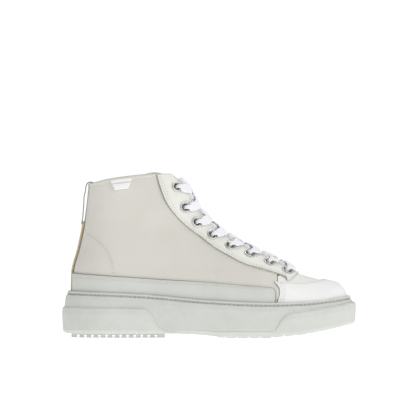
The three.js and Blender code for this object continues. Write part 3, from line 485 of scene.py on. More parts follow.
def sheet_faces(rows: int, columns: int, kept: Array | None = None) -> list[Array]:
    """Quads of a sheet with two faces and a wall along each border of what is kept.

    Args:
        rows, columns: points of the grid each way.
        kept: which cells exist, where holes are left out.
    Returns:
        Face arrays over both layers, the outer one first.
    """
    index = np.arange(rows * columns).reshape(rows, columns)
    layer = rows * columns
    kept = np.ones((rows - 1, columns - 1), bool) if kept is None else kept
    a, b = index[:-1, :-1][kept], index[:-1, 1:][kept]
    d, c = index[1:, :-1][kept], index[1:, 1:][kept]
    faces = [np.stack([a, b, c, d], axis=-1), np.stack([a, d, c, b], axis=-1) + layer]
    padded = np.pad(kept, 1)
    level = [(padded[:-1, 1:-1], padded[1:, 1:-1], index[:, :-1], index[:, 1:], False),
             (padded[1:-1, :-1], padded[1:-1, 1:], index[:-1, :], index[1:, :], True)]
    for before, after, start, end, turned in level:
        for chosen, flip in ((after & ~before, turned), (before & ~after, not turned)):
            p, q = start[chosen], end[chosen]
            wall = np.stack([p, p + layer, q + layer, q], axis=-1)
            faces.append(wall[:, ::-1] if flip else wall)
    return faces


def sheet(name: str, points: Array, normals: Array, outer: Array | float, inner: Array | float,
          kept: Array | None = None, raw_edges: str = "", raw_width: float = 0.8) -> bpy.types.Object:
    """A sheet between two offsets from a surface grid, with the cloth's own lengths as UV.

    Args:
        name: the piece's name.
        points, normals: the surface grid.
        outer, inner: offsets of the two faces.
        kept: which cells stay, where there are holes.
        raw_edges: borders that show the raw cut edge, as in edge_distance.
        raw_width: how far that edge shows, in mm.
    Returns:
        The linked object.
    """
    outer = np.broadcast_to(outer, points.shape[:2])[..., None]
    inner = np.broadcast_to(inner, points.shape[:2])[..., None]
    down = np.concatenate([np.zeros((1, points.shape[1])), np.cumsum(
        np.linalg.norm(np.diff(points, axis=0), axis=-1), axis=0)])
    over = np.concatenate([np.zeros((points.shape[0], 1)), np.cumsum(
        np.linalg.norm(np.diff(points, axis=1), axis=-1), axis=1)], axis=1)
    cloth = np.stack([over, down], axis=-1)
    both = np.stack([points + normals * outer, points + normals * inner])
    rows, columns = points.shape[:2]
    grid, faces = both.reshape(-1, 3), sheet_faces(rows, columns, kept)
    used = np.unique(np.concatenate([f.ravel() for f in faces]))
    renumber = np.zeros(len(grid), int)
    renumber[used] = np.arange(len(used))
    faces = [renumber[f] for f in faces]
    cloths = np.stack([cloth, cloth]).reshape(-1, 2)[used]
    marks = np.zeros(sum(len(f) for f in faces), int)
    if raw_edges:
        distance = edge_distance(points, raw_edges)
        middle = (distance[:-1, :-1] + distance[1:, 1:]) / 2.0
        cells = middle < raw_width if kept is None else (middle < raw_width)[kept]
        marks[:cells.size] = cells.ravel()
    return make_object(name, grid[used], faces, cloths, marks)


def rolled(points: Array, face: float, back: float, roll: float = 0.9, crowded: str = "bfse",
           rows_at: Sequence[float] = (), dip: float = 0.3) -> Array:
    """Outer offsets of a cut piece: rolled over at its borders, dipping under its stitching.

    The offset rises over the first roll mm as a quarter circle and dips as a bell curve
    at each stitching distance.

    Args:
        points: the grid of surface points.
        face, back: offsets of the piece's face and back.
        roll: radius of the rolled edge, in mm.
        crowded: borders that roll, as in edge_distance.
        rows_at: distances of the stitch rows from the border.
        dip: depth of the stitching's groove.
    Returns:
        A grid of offsets.
    """
    distance = edge_distance(points, crowded)
    share = np.clip(distance / roll, 0.0, 1.0)
    rise = np.sqrt(np.clip(1.0 - (1.0 - share) ** 2, 0.0, 1.0))
    low = back + 0.3 * (face - back)
    offset = low + (face - low) * rise
    for place in rows_at:
        offset = offset - dip * np.exp(-((distance - place) / 0.7) ** 2)
    return offset


def loft(name: str, rings: Array, looped: bool = False, uv: Array | None = None) -> bpy.types.Object:
    """A body skinned over sections, its ends shut by fans round their middles.

    Args:
        rings: sections by points by 3.
        looped: whether the last section joins the first.
        uv: a place on the cloth for each point.
    Returns:
        The linked object.
    """
    count, sides = rings.shape[:2]
    index = np.arange(count * sides).reshape(count, sides)
    if looped:
        index = np.concatenate([index, index[:1]])
    across = np.roll(index, -1, axis=1)
    quads = np.stack([index[:-1], across[:-1], across[1:], index[1:]], axis=-1).reshape(-1, 4)
    if looped:
        return make_object(name, rings.reshape(-1, 3), [quads], uv)
    caps = rings[[0, -1]].mean(axis=1)
    points = np.concatenate([rings.reshape(-1, 3), caps])
    first, last = count * sides, count * sides + 1
    start = np.stack([across[0], index[0], np.full(sides, first)], axis=-1)
    end = np.stack([index[-1], across[-1], np.full(sides, last)], axis=-1)
    if uv is not None:
        uv = np.concatenate([uv.reshape(-1, 2), uv.reshape(count, sides, 2)[[0, -1]].mean(axis=1)])
    return make_object(name, points, [quads, start, end], uv)


def resample(path: Array, extra: Array, pitch: float, closed: bool = False) -> tuple[Array, Array]:
    """Places at an even pitch along a chain of points, with what goes with them.

    Args:
        path: the chain of points.
        extra: values at the same points, such as normals.
        pitch: the spacing wanted, in mm.
        closed: whether the chain comes back to its start.
    Returns:
        The places and their values.
    """
    if closed:
        path, extra = np.concatenate([path, path[:1]]), np.concatenate([extra, extra[:1]])
    travel = np.concatenate([[0.0], np.cumsum(np.linalg.norm(np.diff(path, axis=0), axis=-1))])
    count = max(2, int(travel[-1] / pitch))
    at = (np.arange(count) + 0.5) * travel[-1] / count
    fields = [np.stack([np.interp(at, travel, data[:, k]) for k in range(data.shape[1])], axis=-1)
              for data in (path, extra)]
    return fields[0], fields[1]


def stitches(name: str, lines: Sequence[tuple[Array, Array]], pitch: float = 3.1, length: float = 2.3,
             radius: float = 0.36, closed: bool = False) -> bpy.types.Object:
    """Rows of stitches, each a short plump thread that dips in at both ends.

    Each is four hexagonal rings on a line from end to end, narrow and sunk at the ends.

    Args:
        lines: (points, normals) chains that the rows follow.
        pitch, length, radius: spacing, length and half thickness, in mm.
        closed: whether the rows come back to their start.
    Returns:
        One object of all the stitches.
    """
    clouds, faces, base = [], [], 0
    turn = np.linspace(0.0, 2.0 * np.pi, 6, endpoint=False)
    stations = np.array([-0.5, -0.22, 0.22, 0.5])
    swell, lift = np.array([0.45, 1.0, 1.0, 0.45]), np.array([-0.35, 0.12, 0.12, -0.35])
    for path, normals in lines:
        centre, out = resample(path, normals, pitch, closed)
        out = unit(out)
        along = unit(np.gradient(centre, axis=0))
        over = unit(np.cross(out, along))
        axis = centre[:, None] + along[:, None] * (stations * length)[:, None] + out[:, None] * lift[:, None]
        spread = (over[:, None, None] * np.cos(turn)[:, None] + out[:, None, None] * np.sin(turn)[:, None])
        cloud = axis[:, :, None] + spread * (radius * swell)[:, None, None]
        count = len(centre)
        index = base + np.arange(count * 24).reshape(count, 4, 6)
        around = np.roll(index, -1, axis=2)
        faces.append(np.stack([index[:, :-1], around[:, :-1], around[:, 1:], index[:, 1:]], axis=-1).reshape(-1, 4))
        faces.append(index[:, 0, ::-1][:, [0, 1, 2, 3]])
        faces.append(index[:, 0, ::-1][:, [0, 3, 4, 5]])
        faces.append(index[:, 3][:, [0, 1, 2, 3]])
        faces.append(index[:, 3][:, [0, 3, 4, 5]])
        clouds.append(cloud.reshape(-1, 3))
        base += count * 24
    return make_object(name, np.concatenate(clouds), faces)


# ------------------------------------------------------------------------- finishes
class Grain(Enum):
    """How a finish's fine relief is made."""

    WEAVE = "plain weave along the cloth"
    TWILL = "slanted ribs along the cloth"
    HIDE = "pebbled leather"
    NAP = "brushed suede"
    MOULDED = "fine moulded stipple"
    METAL = "turned metal"
    FIBRE = "matted fibre"


class Graph:
    """A short way to add and join shader nodes."""

    def __init__(self, name: str) -> None:
        """Starts an empty material of that name with its output and main shader."""
        self.material = bpy.data.materials.new(name)
        self.material.use_nodes = True
        self.tree = self.material.node_tree
        self.tree.nodes.clear()
        self.output = self.tree.nodes.new("ShaderNodeOutputMaterial")
        self.shader = self.tree.nodes.new("ShaderNodeBsdfPrincipled")
        self.tree.links.new(self.shader.outputs[0], self.output.inputs[0])
        self.coordinates = self.tree.nodes.new("ShaderNodeTexCoord")

    def put(self, socket: bpy.types.NodeSocket, value: object) -> None:
        """Links a socket to another, or sets its value."""
        if isinstance(value, bpy.types.NodeSocket):
            self.tree.links.new(value, socket)
        else:
            socket.default_value = value

    def node(self, kind: str, inputs: dict[str, object] | None = None, **settings: object) -> bpy.types.Node:
        """Adds a node, with its settings and inputs by name."""
        made = self.tree.nodes.new("ShaderNode" + kind)
        for key, value in settings.items():
            setattr(made, key, value)
        for key, value in (inputs or {}).items():
            self.put(made.inputs[key], value)
        return made

    def maths(self, operation: str, first: object, second: object = 0.0) -> bpy.types.NodeSocket:
        """One arithmetic step."""
        made = self.tree.nodes.new("ShaderNodeMath")
        made.operation = operation
        self.put(made.inputs[0], first)
        self.put(made.inputs[1], second)
        return made.outputs[0]

    def noise(self, place: bpy.types.NodeSocket, scale: float, detail: float = 3.0) -> bpy.types.NodeSocket:
        """Soft noise from 0 to 1 over a place."""
        return self.node("TexNoise", {"Vector": place, "Scale": scale, "Detail": detail}).outputs["Fac"]

    def spread(self, value: bpy.types.NodeSocket, low: object, high: object,
               start: float = 0.3, end: float = 0.7) -> bpy.types.NodeSocket:
        """Maps a value's range onto two numbers."""
        return self.node("MapRange", {
            "Value": value, "From Min": start, "From Max": end, "To Min": low, "To Max": high}).outputs[0]

    def blend(self, share: bpy.types.NodeSocket, first: object, second: object) -> bpy.types.NodeSocket:
        """Mixes two colours."""
        made = self.node("Mix", data_type="RGBA", clamp_factor=True)
        self.put(made.inputs[0], share)
        self.put(made.inputs[6], first)
        self.put(made.inputs[7], second)
        return made.outputs[2]


def linear(red: int, green: int, blue: int) -> tuple[float, float, float, float]:
    """A screen colour from 0 to 255 as linear light."""
    shares = [value / 255.0 for value in (red, green, blue)]
    return (*[s / 12.92 if s <= 0.04045 else ((s + 0.055) / 1.055) ** 2.4 for s in shares], 1.0)


@dataclass(frozen=True)
class Finish:
    """One finish: its colours, relief and gloss."""

    name: str
    colour: tuple[int, int, int]
    shade: tuple[int, int, int]
    grain: Grain
    pitch: float = 1.0
    relief: float = 0.1
    strength: float = 0.6
    roughness: float = 0.7
    metallic: float = 0.0
    sheen: float = 0.0
    specular: float = 0.4
    coat: float = 0.0

    def height(self, graph: Graph) -> tuple[bpy.types.NodeSocket, bpy.types.NodeSocket]:
        """The relief of the grain, and the share of shade that follows it."""
        spot, cloth = graph.coordinates.outputs["Object"], graph.coordinates.outputs["UV"]
        turn = 2.0 * math.pi / (self.pitch * MM)
        if self.grain in (Grain.WEAVE, Grain.TWILL):
            fuzz = graph.noise(cloth, 900.0 / self.pitch, 4.0)
            parts = graph.node("SeparateXYZ", {"Vector": cloth})
            across = graph.maths("MULTIPLY", parts.outputs[0], turn)
            down = graph.maths("MULTIPLY", parts.outputs[1], turn)
            if self.grain is Grain.WEAVE:
                threads = graph.maths("MULTIPLY", graph.maths("SINE", across), graph.maths("SINE", down))
            else:
                threads = graph.maths("SINE", graph.maths("ADD", across, down))
            woven = graph.maths("MULTIPLY_ADD", threads, 0.5)
            woven.node.inputs[2].default_value = 0.5
            height = graph.maths("ADD", woven, graph.maths("MULTIPLY", fuzz, 0.35))
            return height, graph.maths("SUBTRACT", 1.0, woven)
        if self.grain is Grain.HIDE:
            cells = graph.node("TexVoronoi", {"Vector": spot, "Scale": 1.0 / (self.pitch * MM)},
                               feature="SMOOTH_F1").outputs["Distance"]
            fold = graph.noise(spot, 160.0, 4.0)
            height = graph.maths("ADD", graph.maths("MULTIPLY", cells, -0.8), graph.maths("MULTIPLY", fold, 0.8))
            return height, graph.spread(cells, 0.0, 1.0, 0.2, 0.9)
        if self.grain is Grain.NAP:
            fine = graph.noise(spot, 2600.0, 5.0)
            brushed = graph.noise(spot, 260.0, 3.0)
            return graph.maths("ADD", fine, brushed), graph.spread(brushed, 0.0, 1.0, 0.35, 0.65)
        if self.grain is Grain.METAL:
            scratch = graph.noise(spot, 1500.0, 2.0)
            return scratch, graph.spread(graph.noise(spot, 420.0), 0.0, 1.0)
        rough = graph.noise(spot, 1.0 / (self.pitch * MM), 5.0)
        broad = graph.noise(spot, 90.0, 3.0)
        return graph.maths("ADD", rough, graph.maths("MULTIPLY", broad, 0.6)), graph.spread(broad, 0.0, 1.0)

    def build(self) -> bpy.types.Material:
        """Makes the material: colour, wear, gloss and relief from its grain."""
        graph = Graph(self.name)
        spot = graph.coordinates.outputs["Object"]
        height, fine = self.height(graph)
        patches = graph.spread(graph.noise(spot, 38.0, 4.0), 0.0, 0.55, 0.35, 0.75)
        share = graph.maths("ADD", graph.maths("MULTIPLY", fine, 0.4), graph.maths("MULTIPLY", patches, 0.6))
        graph.put(graph.shader.inputs["Base Color"],
                  graph.blend(share, linear(*self.colour), linear(*self.shade)))
        gloss = graph.spread(graph.noise(spot, 210.0, 4.0), max(0.05, self.roughness - 0.08),
                             min(1.0, self.roughness + 0.1))
        graph.put(graph.shader.inputs["Roughness"], gloss)
        graph.shader.inputs["Metallic"].default_value = self.metallic
        graph.shader.inputs["Specular IOR Level"].default_value = self.specular
        graph.shader.inputs["Sheen Weight"].default_value = self.sheen
        graph.shader.inputs["Sheen Roughness"].default_value = 0.5
        graph.shader.inputs["Coat Weight"].default_value = self.coat
        graph.shader.inputs["Coat Roughness"].default_value = 0.25
        bump = graph.node("Bump", {"Height": height, "Strength": self.strength, "Distance": self.relief * MM})
        graph.put(graph.shader.inputs["Normal"], bump.outputs[0])
        return graph.material


FINISHES = {
    "canvas": Finish("cream_canvas", (222, 220, 212), (212, 209, 200),
                     Grain.WEAVE, 0.9, 0.12, 0.55, 0.88, sheen=0.15, specular=0.25),
    "lining": Finish("cotton_lining", (232, 229, 220), (216, 212, 200),
                     Grain.TWILL, 1.1, 0.1, 0.6, 0.92, sheen=0.2, specular=0.2),
    "eyestay_leather": Finish("off_white_leather", (240, 240, 234), (226, 226, 217), Grain.HIDE, 0.9, 0.08, 0.45, 0.5),
    "vamp_leather": Finish("vamp_leather", (242, 242, 238), (230, 230, 224), Grain.HIDE, 0.9, 0.08, 0.45, 0.48),
    "foxing_leather": Finish("pale_grey_leather", (214, 216, 211), (200, 202, 196), Grain.HIDE, 0.7, 0.08, 0.5, 0.52),
    "toe_leather": Finish("white_leather", (246, 246, 245), (236, 236, 235), Grain.HIDE, 1.0, 0.06, 0.4, 0.45),
    "stiffener": Finish("stiffener_board", (196, 189, 170), (176, 168, 148), Grain.FIBRE, 0.6, 0.1, 0.5, 0.95),
    "foam": Finish("open_foam", (222, 214, 186), (206, 196, 164), Grain.FIBRE, 0.9, 0.3, 0.6, 0.97),
    "suede": Finish("tan_suede", (190, 171, 130), (163, 143, 104),
                    Grain.NAP, 0.5, 0.2, 0.6, 0.95, sheen=0.5, specular=0.15),
    "webbing": Finish("grey_webbing", (172, 172, 166), (136, 136, 130),
                      Grain.TWILL, 1.5, 0.3, 0.8, 0.8, sheen=0.2, specular=0.25),
    "tab": Finish("woven_tab", (250, 250, 248), (240, 239, 235),
                  Grain.TWILL, 0.7, 0.1, 0.6, 0.8, sheen=0.1, specular=0.25),
    "tongue_fabric": Finish("tongue_canvas", (236, 235, 228), (224, 222, 213),
                            Grain.FIBRE, 0.5, 0.14, 0.5, 0.88, sheen=0.15, specular=0.25),
    "nickel": Finish("satin_nickel", (214, 213, 209), (188, 187, 182),
                     Grain.METAL, 0.5, 0.01, 0.15, 0.3, metallic=1.0, specular=0.5),
    "lace": Finish("cotton_lace", (247, 247, 251), (236, 236, 242),
                   Grain.TWILL, 1.3, 0.06, 0.35, 0.85, sheen=0.05, specular=0.25),
    "aglet": Finish("acetate", (238, 238, 238), (226, 226, 226), Grain.MOULDED, 0.4, 0.02, 0.2, 0.2, coat=0.4),
    "sole_rubber": Finish("pale_rubber", (213, 215, 210), (200, 202, 196),
                          Grain.MOULDED, 0.45, 0.07, 0.5, 0.62, specular=0.35),
    "midsole": Finish("midsole_foam", (224, 222, 216), (208, 206, 199), Grain.FIBRE, 0.8, 0.1, 0.4, 0.9),
    "shank": Finish("spring_steel", (160, 165, 170), (130, 135, 142),
                    Grain.METAL, 0.5, 0.02, 0.3, 0.35, metallic=1.0, specular=0.5),
    "seam_thread": Finish("seam_thread", (222, 221, 214), (204, 202, 194), Grain.FIBRE, 0.25, 0.05, 0.5, 0.6),
    "raw_edge": Finish("raw_edge", (158, 156, 147), (136, 134, 126), Grain.FIBRE, 0.4, 0.1, 0.5, 0.9),
    # Greyer than the seam thread: partly the thread's own grey, partly painted shade of the sidewall groove it lies
    # in.
    "thread": Finish("sole_thread", (190, 190, 184), (164, 164, 157), Grain.FIBRE, 0.25, 0.05, 0.5, 0.6),
}
RECORD_SLOTS = {"vamp_leather": "eyestay_leather", "seam_thread": "thread"}


@dataclass
class Wardrobe:
    """Makes each finish once and dresses pieces in it."""

    made: dict[str, bpy.types.Material] = field(default_factory=dict)

    def material(self, key: str) -> bpy.types.Material:
        """The finish's material, made the first time it is asked for."""
        if key not in self.made:
            self.made[key] = FINISHES[key].build()
        return self.made[key]

    def dress(self, piece: bpy.types.Object, key: str, nodes: Sequence[str], body: str = "shoe",
              edge: str = "") -> bpy.types.Object:
        """Gives a piece its finish, its body and the frame nodes that it stands for.

        Args:
            piece: the finished object.
            key: the finish.
            nodes: frame nodes that it replaces, or none.
            body: the body that it rides on.
            edge: the finish of its raw edges, if they show.
        Returns:
            The same object.
        """
        for finish in (key, edge) if edge else (key,):
            piece.data.materials.append(self.material(finish))
        RECORD_SLOTS.get(key, key)
        if nodes:
            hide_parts(*nodes)
        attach(piece, body)
        log.info("%s: %d faces on %s", piece.name, len(piece.data.polygons), body)
        return piece

    def redress_frame(self) -> None:
        """Gives every frame node that stays its finish by its material slot."""
        slots = {row["node"]: row["material_slot"] for row in frame["record"]["subparts"]}
        for name, node in frame["nodes"].items():
            node.data.materials.clear()
            node.data.materials.append(self.material(slots[name]))


# The lace: middle, half width as a vector and half thickness at each point, in tenths of a mm.
LACE_ROUTE = (
    92, -194, 902, 19, 21, 25, 7, -53, -176, 994, 20, 18, 27, 7, -192, -171, 1101, 24, 15, 25, 7,
    -303, -168, 1232, 29, 13, 21, 7, -377, -171, 1363, 33, 13, 15, 7, -410, -159, 1463, 35, 12, 7, 7,
    -424, -138, 1542, 33, 15, 11, 7, -467, -135, 1603, 33, 15, 9, 7, -449, -129, 1617, 6, -12, -36, 7,
    -389, -108, 1607, -6, -20, -32, 7, -309, -88, 1565, 3, -19, -33, 7, -258, -71, 1597, 18, -12, -32, 6,
    -235, -2, 1575, 17, -15, -30, 7, -202, 91, 1548, 17, -16, -30, 7, -193, 150, 1516, 15, 4, -35, 7,
    -262, 185, 1532, -2, 15, -35, 7, -281, 197, 1542, -5, 11, -23, 10, -308, 197, 1547, -4, 8, -17, 13,
    -325, 180, 1543, -4, 8, -17, 13, -340, 141, 1527, -4, 8, -17, 13, -336, 122, 1517, -4, 8, -17, 13,
    -317, 112, 1507, -5, 11, -23, 10, -292, 109, 1501, -11, 17, -32, 7, -206, 74, 1448, -8, 17, -33, 7,
    -152, 66, 1447, 14, 22, -28, 7, -138, -3, 1422, 16, 14, -31, 7, -117, -96, 1389, 16, 15, -31, 7,
    -117, -154, 1357, 22, 4, -31, 7, -177, -203, 1333, 12, -2, -36, 7, -196, -219, 1335, 1, -5, -26, 10,
    -223, -222, 1334, 1, -4, -19, 13, -241, -206, 1330, 1, -4, -19, 13, -258, -166, 1322, 1, -4, -19, 13,
    -255, -144, 1318, 1, -4, -19, 13, -236, -131, 1316, 1, -5, -26, 10, -210, -124, 1316, -6, -10, -36, 6,
    -119, -79, 1283, 0, -16, -34, 7, -62, -71, 1293, 19, -23, -24, 7, -41, -3, 1271, 22, -15, -27, 7,
    -11, 89, 1245, 21, -16, -27, 7, -2, 147, 1212, 26, -3, -27, 6, -58, 197, 1188, 16, 7, -34, 7,
    -79, 211, 1189, 4, 7, -25, 10, -106, 213, 1186, 3, 5, -18, 12, -122, 197, 1178, 3, 5, -18, 13,
    -135, 157, 1164, 3, 5, -18, 13, -131, 136, 1159, 3, 5, -18, 12, -111, 124, 1158, 4, 7, -25, 10,
    -85, 119, 1160, -3, 13, -35, 7, 8, 74, 1130, 6, 18, -33, 6, 68, 66, 1158, 23, 23, -20, 7,
    93, 0, 1141, 26, 16, -23, 7, 128, -88, 1120, 26, 17, -22, 7, 143, -143, 1089, 31, 1, -22, 7,
    97, -199, 1068, 21, -11, -30, 6, 77, -214, 1070, 7, -12, -22, 10, 51, -218, 1064, 5, -8, -16, 13,
    35, -204, 1052, 5, -8, -16, 13, 22, -168, 1030, 5, -8, -16, 13, 27, -149, 1021, 5, -8, -16, 13,
    46, -135, 1020, 7, -12, -22, 10, 71, -129, 1024, 2, -20, -32, 7, 167, -82, 995, 12, -24, -27, 7,
    229, -70, 1043, 25, -22, -18, 7, 254, -11, 1028, 28, -17, -20, 7, 291, 68, 1011, 27, -19, -19, 6,
    309, 116, 980, 33, -1, -18, 7, 271, 183, 964, 24, 12, -27, 7, 252, 199, 966, 10, 13, -20, 10,
    227, 206, 958, 7, 9, -15, 13, 211, 194, 944, 7, 9, -15, 13, 198, 162, 917, 7, 9, -15, 13,
    201, 143, 907, 7, 9, -15, 13, 220, 128, 906, 10, 13, -20, 10, 244, 119, 911, 6, 23, -30, 7,
    340, 68, 884, 17, 28, -19, 6, 397, 50, 950, 27, 24, -12, 7, 427, -2, 938, 29, 20, -14, 7,
    468, -73, 925, 29, 21, -13, 7, 489, -112, 895, 34, 4, -15, 7, 465, -187, 887, 31, -11, -19, 7,
    451, -207, 889, 16, -14, -15, 10, 430, -221, 879, 12, -10, -11, 13, 416, -217, 860, 12, -10, -11, 13,
    402, -195, 824, 12, -10, -11, 12, 404, -178, 810, 12, -10, -11, 13, 419, -160, 809, 16, -14, -15, 10,
    438, -144, 816, 19, -25, -22, 6, 517, -74, 796, 22, -26, -17, 6, 580, -55, 864, 26, -23, -15, 7,
    608, -7, 852, 28, -20, -16, 6, 648, 58, 839, 27, -22, -15, 7, 667, 96, 809, 34, -7, -16, 7,
    654, 177, 801, 33, 7, -18, 7, 642, 199, 803, 19, 11, -14, 10, 624, 216, 793, 14, 8, -10, 13,
    610, 215, 774, 14, 8, -10, 13, 594, 196, 737, 14, 8, -10, 13, 594, 180, 722, 14, 8, -10, 13,
    606, 159, 721, 19, 11, -14, 10, 623, 140, 728, 23, 22, -21, 7, 689, 63, 709, 24, 25, -17, 7,
    757, 43, 777, 24, 28, -9, 7, 785, -2, 765, 29, 21, -12, 7, 823, -64, 751, 28, 22, -12, 7,
    841, -96, 721, 34, 10, -14, 6, 837, -168, 713, 34, -4, -17, 6, 828, -191, 716, 20, -10, -14, 10,
    811, -211, 707, 14, -7, -10, 13, 797, -211, 687, 14, -7, -10, 13, 780, -196, 650, 14, -7, -10, 13,
    778, -180, 635, 14, -7, -10, 13, 787, -158, 633, 20, -10, -14, 10, 802, -138, 639, 27, -17, -20, 7,
    834, -84, 633, 33, -11, -16, 7, 838, -35, 643, 35, 0, -15, 7, 838, 32, 643, 35, 0, -15, 7,
    834, 83, 633, 34, 11, -13, 6, 802, 136, 639, 27, 17, -20, 7, 787, 157, 633, 20, 10, -13, 10,
    777, 178, 635, 14, 8, -10, 13, 779, 194, 650, 14, 8, -10, 13, 796, 210, 687, 14, 8, -10, 13,
    810, 209, 707, 14, 8, -10, 13, 827, 190, 716, 20, 10, -13, 10, 837, 167, 713, 34, 4, -17, 7,
    841, 93, 722, 34, -10, -14, 7, 813, 59, 733, 26, -22, -16, 7, 775, -3, 746, 27, -21, -16, 7,
    748, -48, 758, 25, -24, -15, 7, 689, -67, 709, 23, -25, -17, 6, 623, -146, 728, 23, -22, -21, 7,
    606, -166, 721, 19, -11, -14, 10, 595, -187, 722, 14, -8, -10, 13, 596, -203, 737, 14, -8, -10, 13,
    613, -221, 774, 14, -8, -10, 12, 627, -222, 793, 14, -8, -10, 13, 645, -204, 803, 19, -11, -14, 10,
    656, -182, 800, 33, -6, -18, 6, 667, -102, 809, 34, 8, -16, 7, 638, -66, 820, 28, 22, -13, 7,
    599, -1, 834, 29, 21, -13, 6, 570, 47, 846, 26, 26, -11, 7, 517, 65, 796, 20, 28, -16, 7,
    437, 130, 818, 16, 25, -23, 7, 416, 144, 811, 15, 14, -15, 10, 400, 162, 811, 11, 11, -11, 13,
    397, 179, 824, 11, 11, -11, 12, 409, 203, 859, 11, 11, -11, 13, 423, 209, 878, 11, 11, -11, 13,
    445, 197, 889, 15, 14, -15, 10, 461, 178, 887, 30, 13, -19, 7, 489, 103, 895, 35, -3, -16, 7,
    458, 62, 906, 28, -21, -15, 7, 417, -9, 919, 29, -19, -15, 7, 388, -61, 931, 27, -22, -15, 6,
    338, -80, 883, 17, -28, -19, 6, 245, -136, 909, 9, -24, -28, 7, 222, -147, 903, 11, -14, -19, 10,
    204, -163, 904, 8, -10, -14, 13, 201, -181, 916, 8, -10, -14, 13, 216, -211, 945, 8, -10, -14, 12,
    232, -220, 961, 8, -10, -14, 13, 256, -212, 969, 11, -14, -19, 10, 274, -194, 967, 26, -12, -25, 7,
    308, -127, 981, 33, 3, -18, 7, 280, -79, 994, 28, 19, -18, 7, 243, 1, 1011, 28, 17, -19, 7,
    217, 59, 1025, 25, 23, -16, 7, 167, 71, 995, 9, 25, -27, 7, 71, 116, 1026, 0, 18, -34, 7,
    45, 122, 1023, 6, 10, -23, 10, 26, 135, 1024, 4, 8, -17, 13, 21, 155, 1031, 4, 8, -17, 12,
    34, 192, 1051, 4, 8, -17, 13, 50, 207, 1062, 4, 8, -17, 13, 76, 204, 1067, 6, 10, -23, 10,
    96, 190, 1066, 20, 10, -31, 7, 143, 134, 1088, 31, -2, -22, 7, 114, 80, 1104, 25, -17, -23, 7,
    79, -8, 1125, 26, -16, -23, 7, 54, -72, 1142, 22, -23, -20, 7, 8, -81, 1130, 4, -20, -32, 7,
    -85, -125, 1159, -2, -14, -35, 7, -111, -130, 1157, 4, -8, -24, 10, -131, -143, 1158, 3, -6, -18, 13,
    -135, -164, 1164, 3, -6, -18, 13, -122, -203, 1179, 3, -6, -18, 13, -106, -219, 1187, 3, -6, -18, 13,
    -79, -217, 1190, 4, -8, -24, 10, -58, -203, 1189, 16, -7, -34, 7, -2, -152, 1213, 27, 3, -27, 7,
    -27, -95, 1232, 21, 16, -27, 7, -58, -2, 1259, 22, 15, -27, 7, -78, 66, 1280, 19, 23, -24, 7,
    -119, 74, 1283, -2, 17, -34, 7, -210, 119, 1316, -6, 10, -36, 6, -236, 126, 1316, 1, 5, -26, 10,
    -255, 140, 1318, 1, 4, -19, 13, -258, 161, 1322, 1, 4, -19, 13, -241, 201, 1330, 1, 4, -19, 13,
    -223, 217, 1334, 1, 4, -19, 13, -196, 214, 1335, 1, 5, -26, 10, -177, 198, 1333, 12, 2, -36, 7,
    -117, 149, 1357, 23, -5, -30, 7, -136, 91, 1380, 15, -15, -31, 7, -157, -2, 1412, 16, -14, -31, 7,
    -171, -71, 1437, 14, -22, -28, 7, -206, -79, 1448, -10, -18, -32, 7, -292, -114, 1501, -11, -17, -32, 7,
    -317, -117, 1507, -5, -11, -23, 10, -336, -127, 1517, -4, -8, -17, 13, -340, -146, 1527, -4, -8, -17, 13,
    -325, -185, 1543, -4, -8, -17, 13, -308, -201, 1547, -4, -8, -17, 13, -281, -202, 1542, -5, -11, -23, 10,
    -262, -190, 1532, -2, -15, -35, 7, -193, -155, 1516, 14, -4, -35, 7, -220, -96, 1537, 17, 16, -30, 7,
    -254, -2, 1565, 17, 15, -30, 7, -276, 66, 1586, 18, 12, -32, 7, -309, 83, 1565, 1, 20, -33, 6,
    -389, 103, 1607, -6, 20, -32, 7, -449, 124, 1617, 6, 12, -36, 7, -467, 130, 1603, 33, -15, 9, 7,
    -424, 134, 1542, 33, -15, 11, 7, -410, 154, 1463, 35, -12, 7, 6, -377, 167, 1363, 33, -13, 15, 7,
    -303, 163, 1233, 29, -13, 21, 7, -193, 161, 1104, 24, -14, 26, 7, -55, 159, 998, 20, -15, 28, 7,
    87, 168, 906, 19, -18, 28, 7,
)


# ------------------------------------------------------------------- the uppers
# Creases of the canvas: two ends in the side view, in mm, and how deep.
CREASE_BEND, RIDGE_ABOVE, RIDGE_WIDTH, GROOVE_WIDTH = 1.2, 2.2, 1.6, 0.9
CREASES = (
    ((-6.0, 72.0), (14.0, 60.5), 0.75), ((2.0, 66.0), (22.0, 59.5), 0.6), ((-30.0, 66.0), (-4.0, 61.5), 0.35),
    ((-118.0, 112.0), (-84.0, 108.5), 0.35), ((-112.0, 124.0), (-88.0, 127.0), 0.3),
    ((-84.0, 141.0), (-58.0, 146.0), 0.25), ((-60.0, 118.0), (-30.0, 104.0), 0.3),
    ((-100.0, 86.0), (-70.0, 80.0), 0.25))


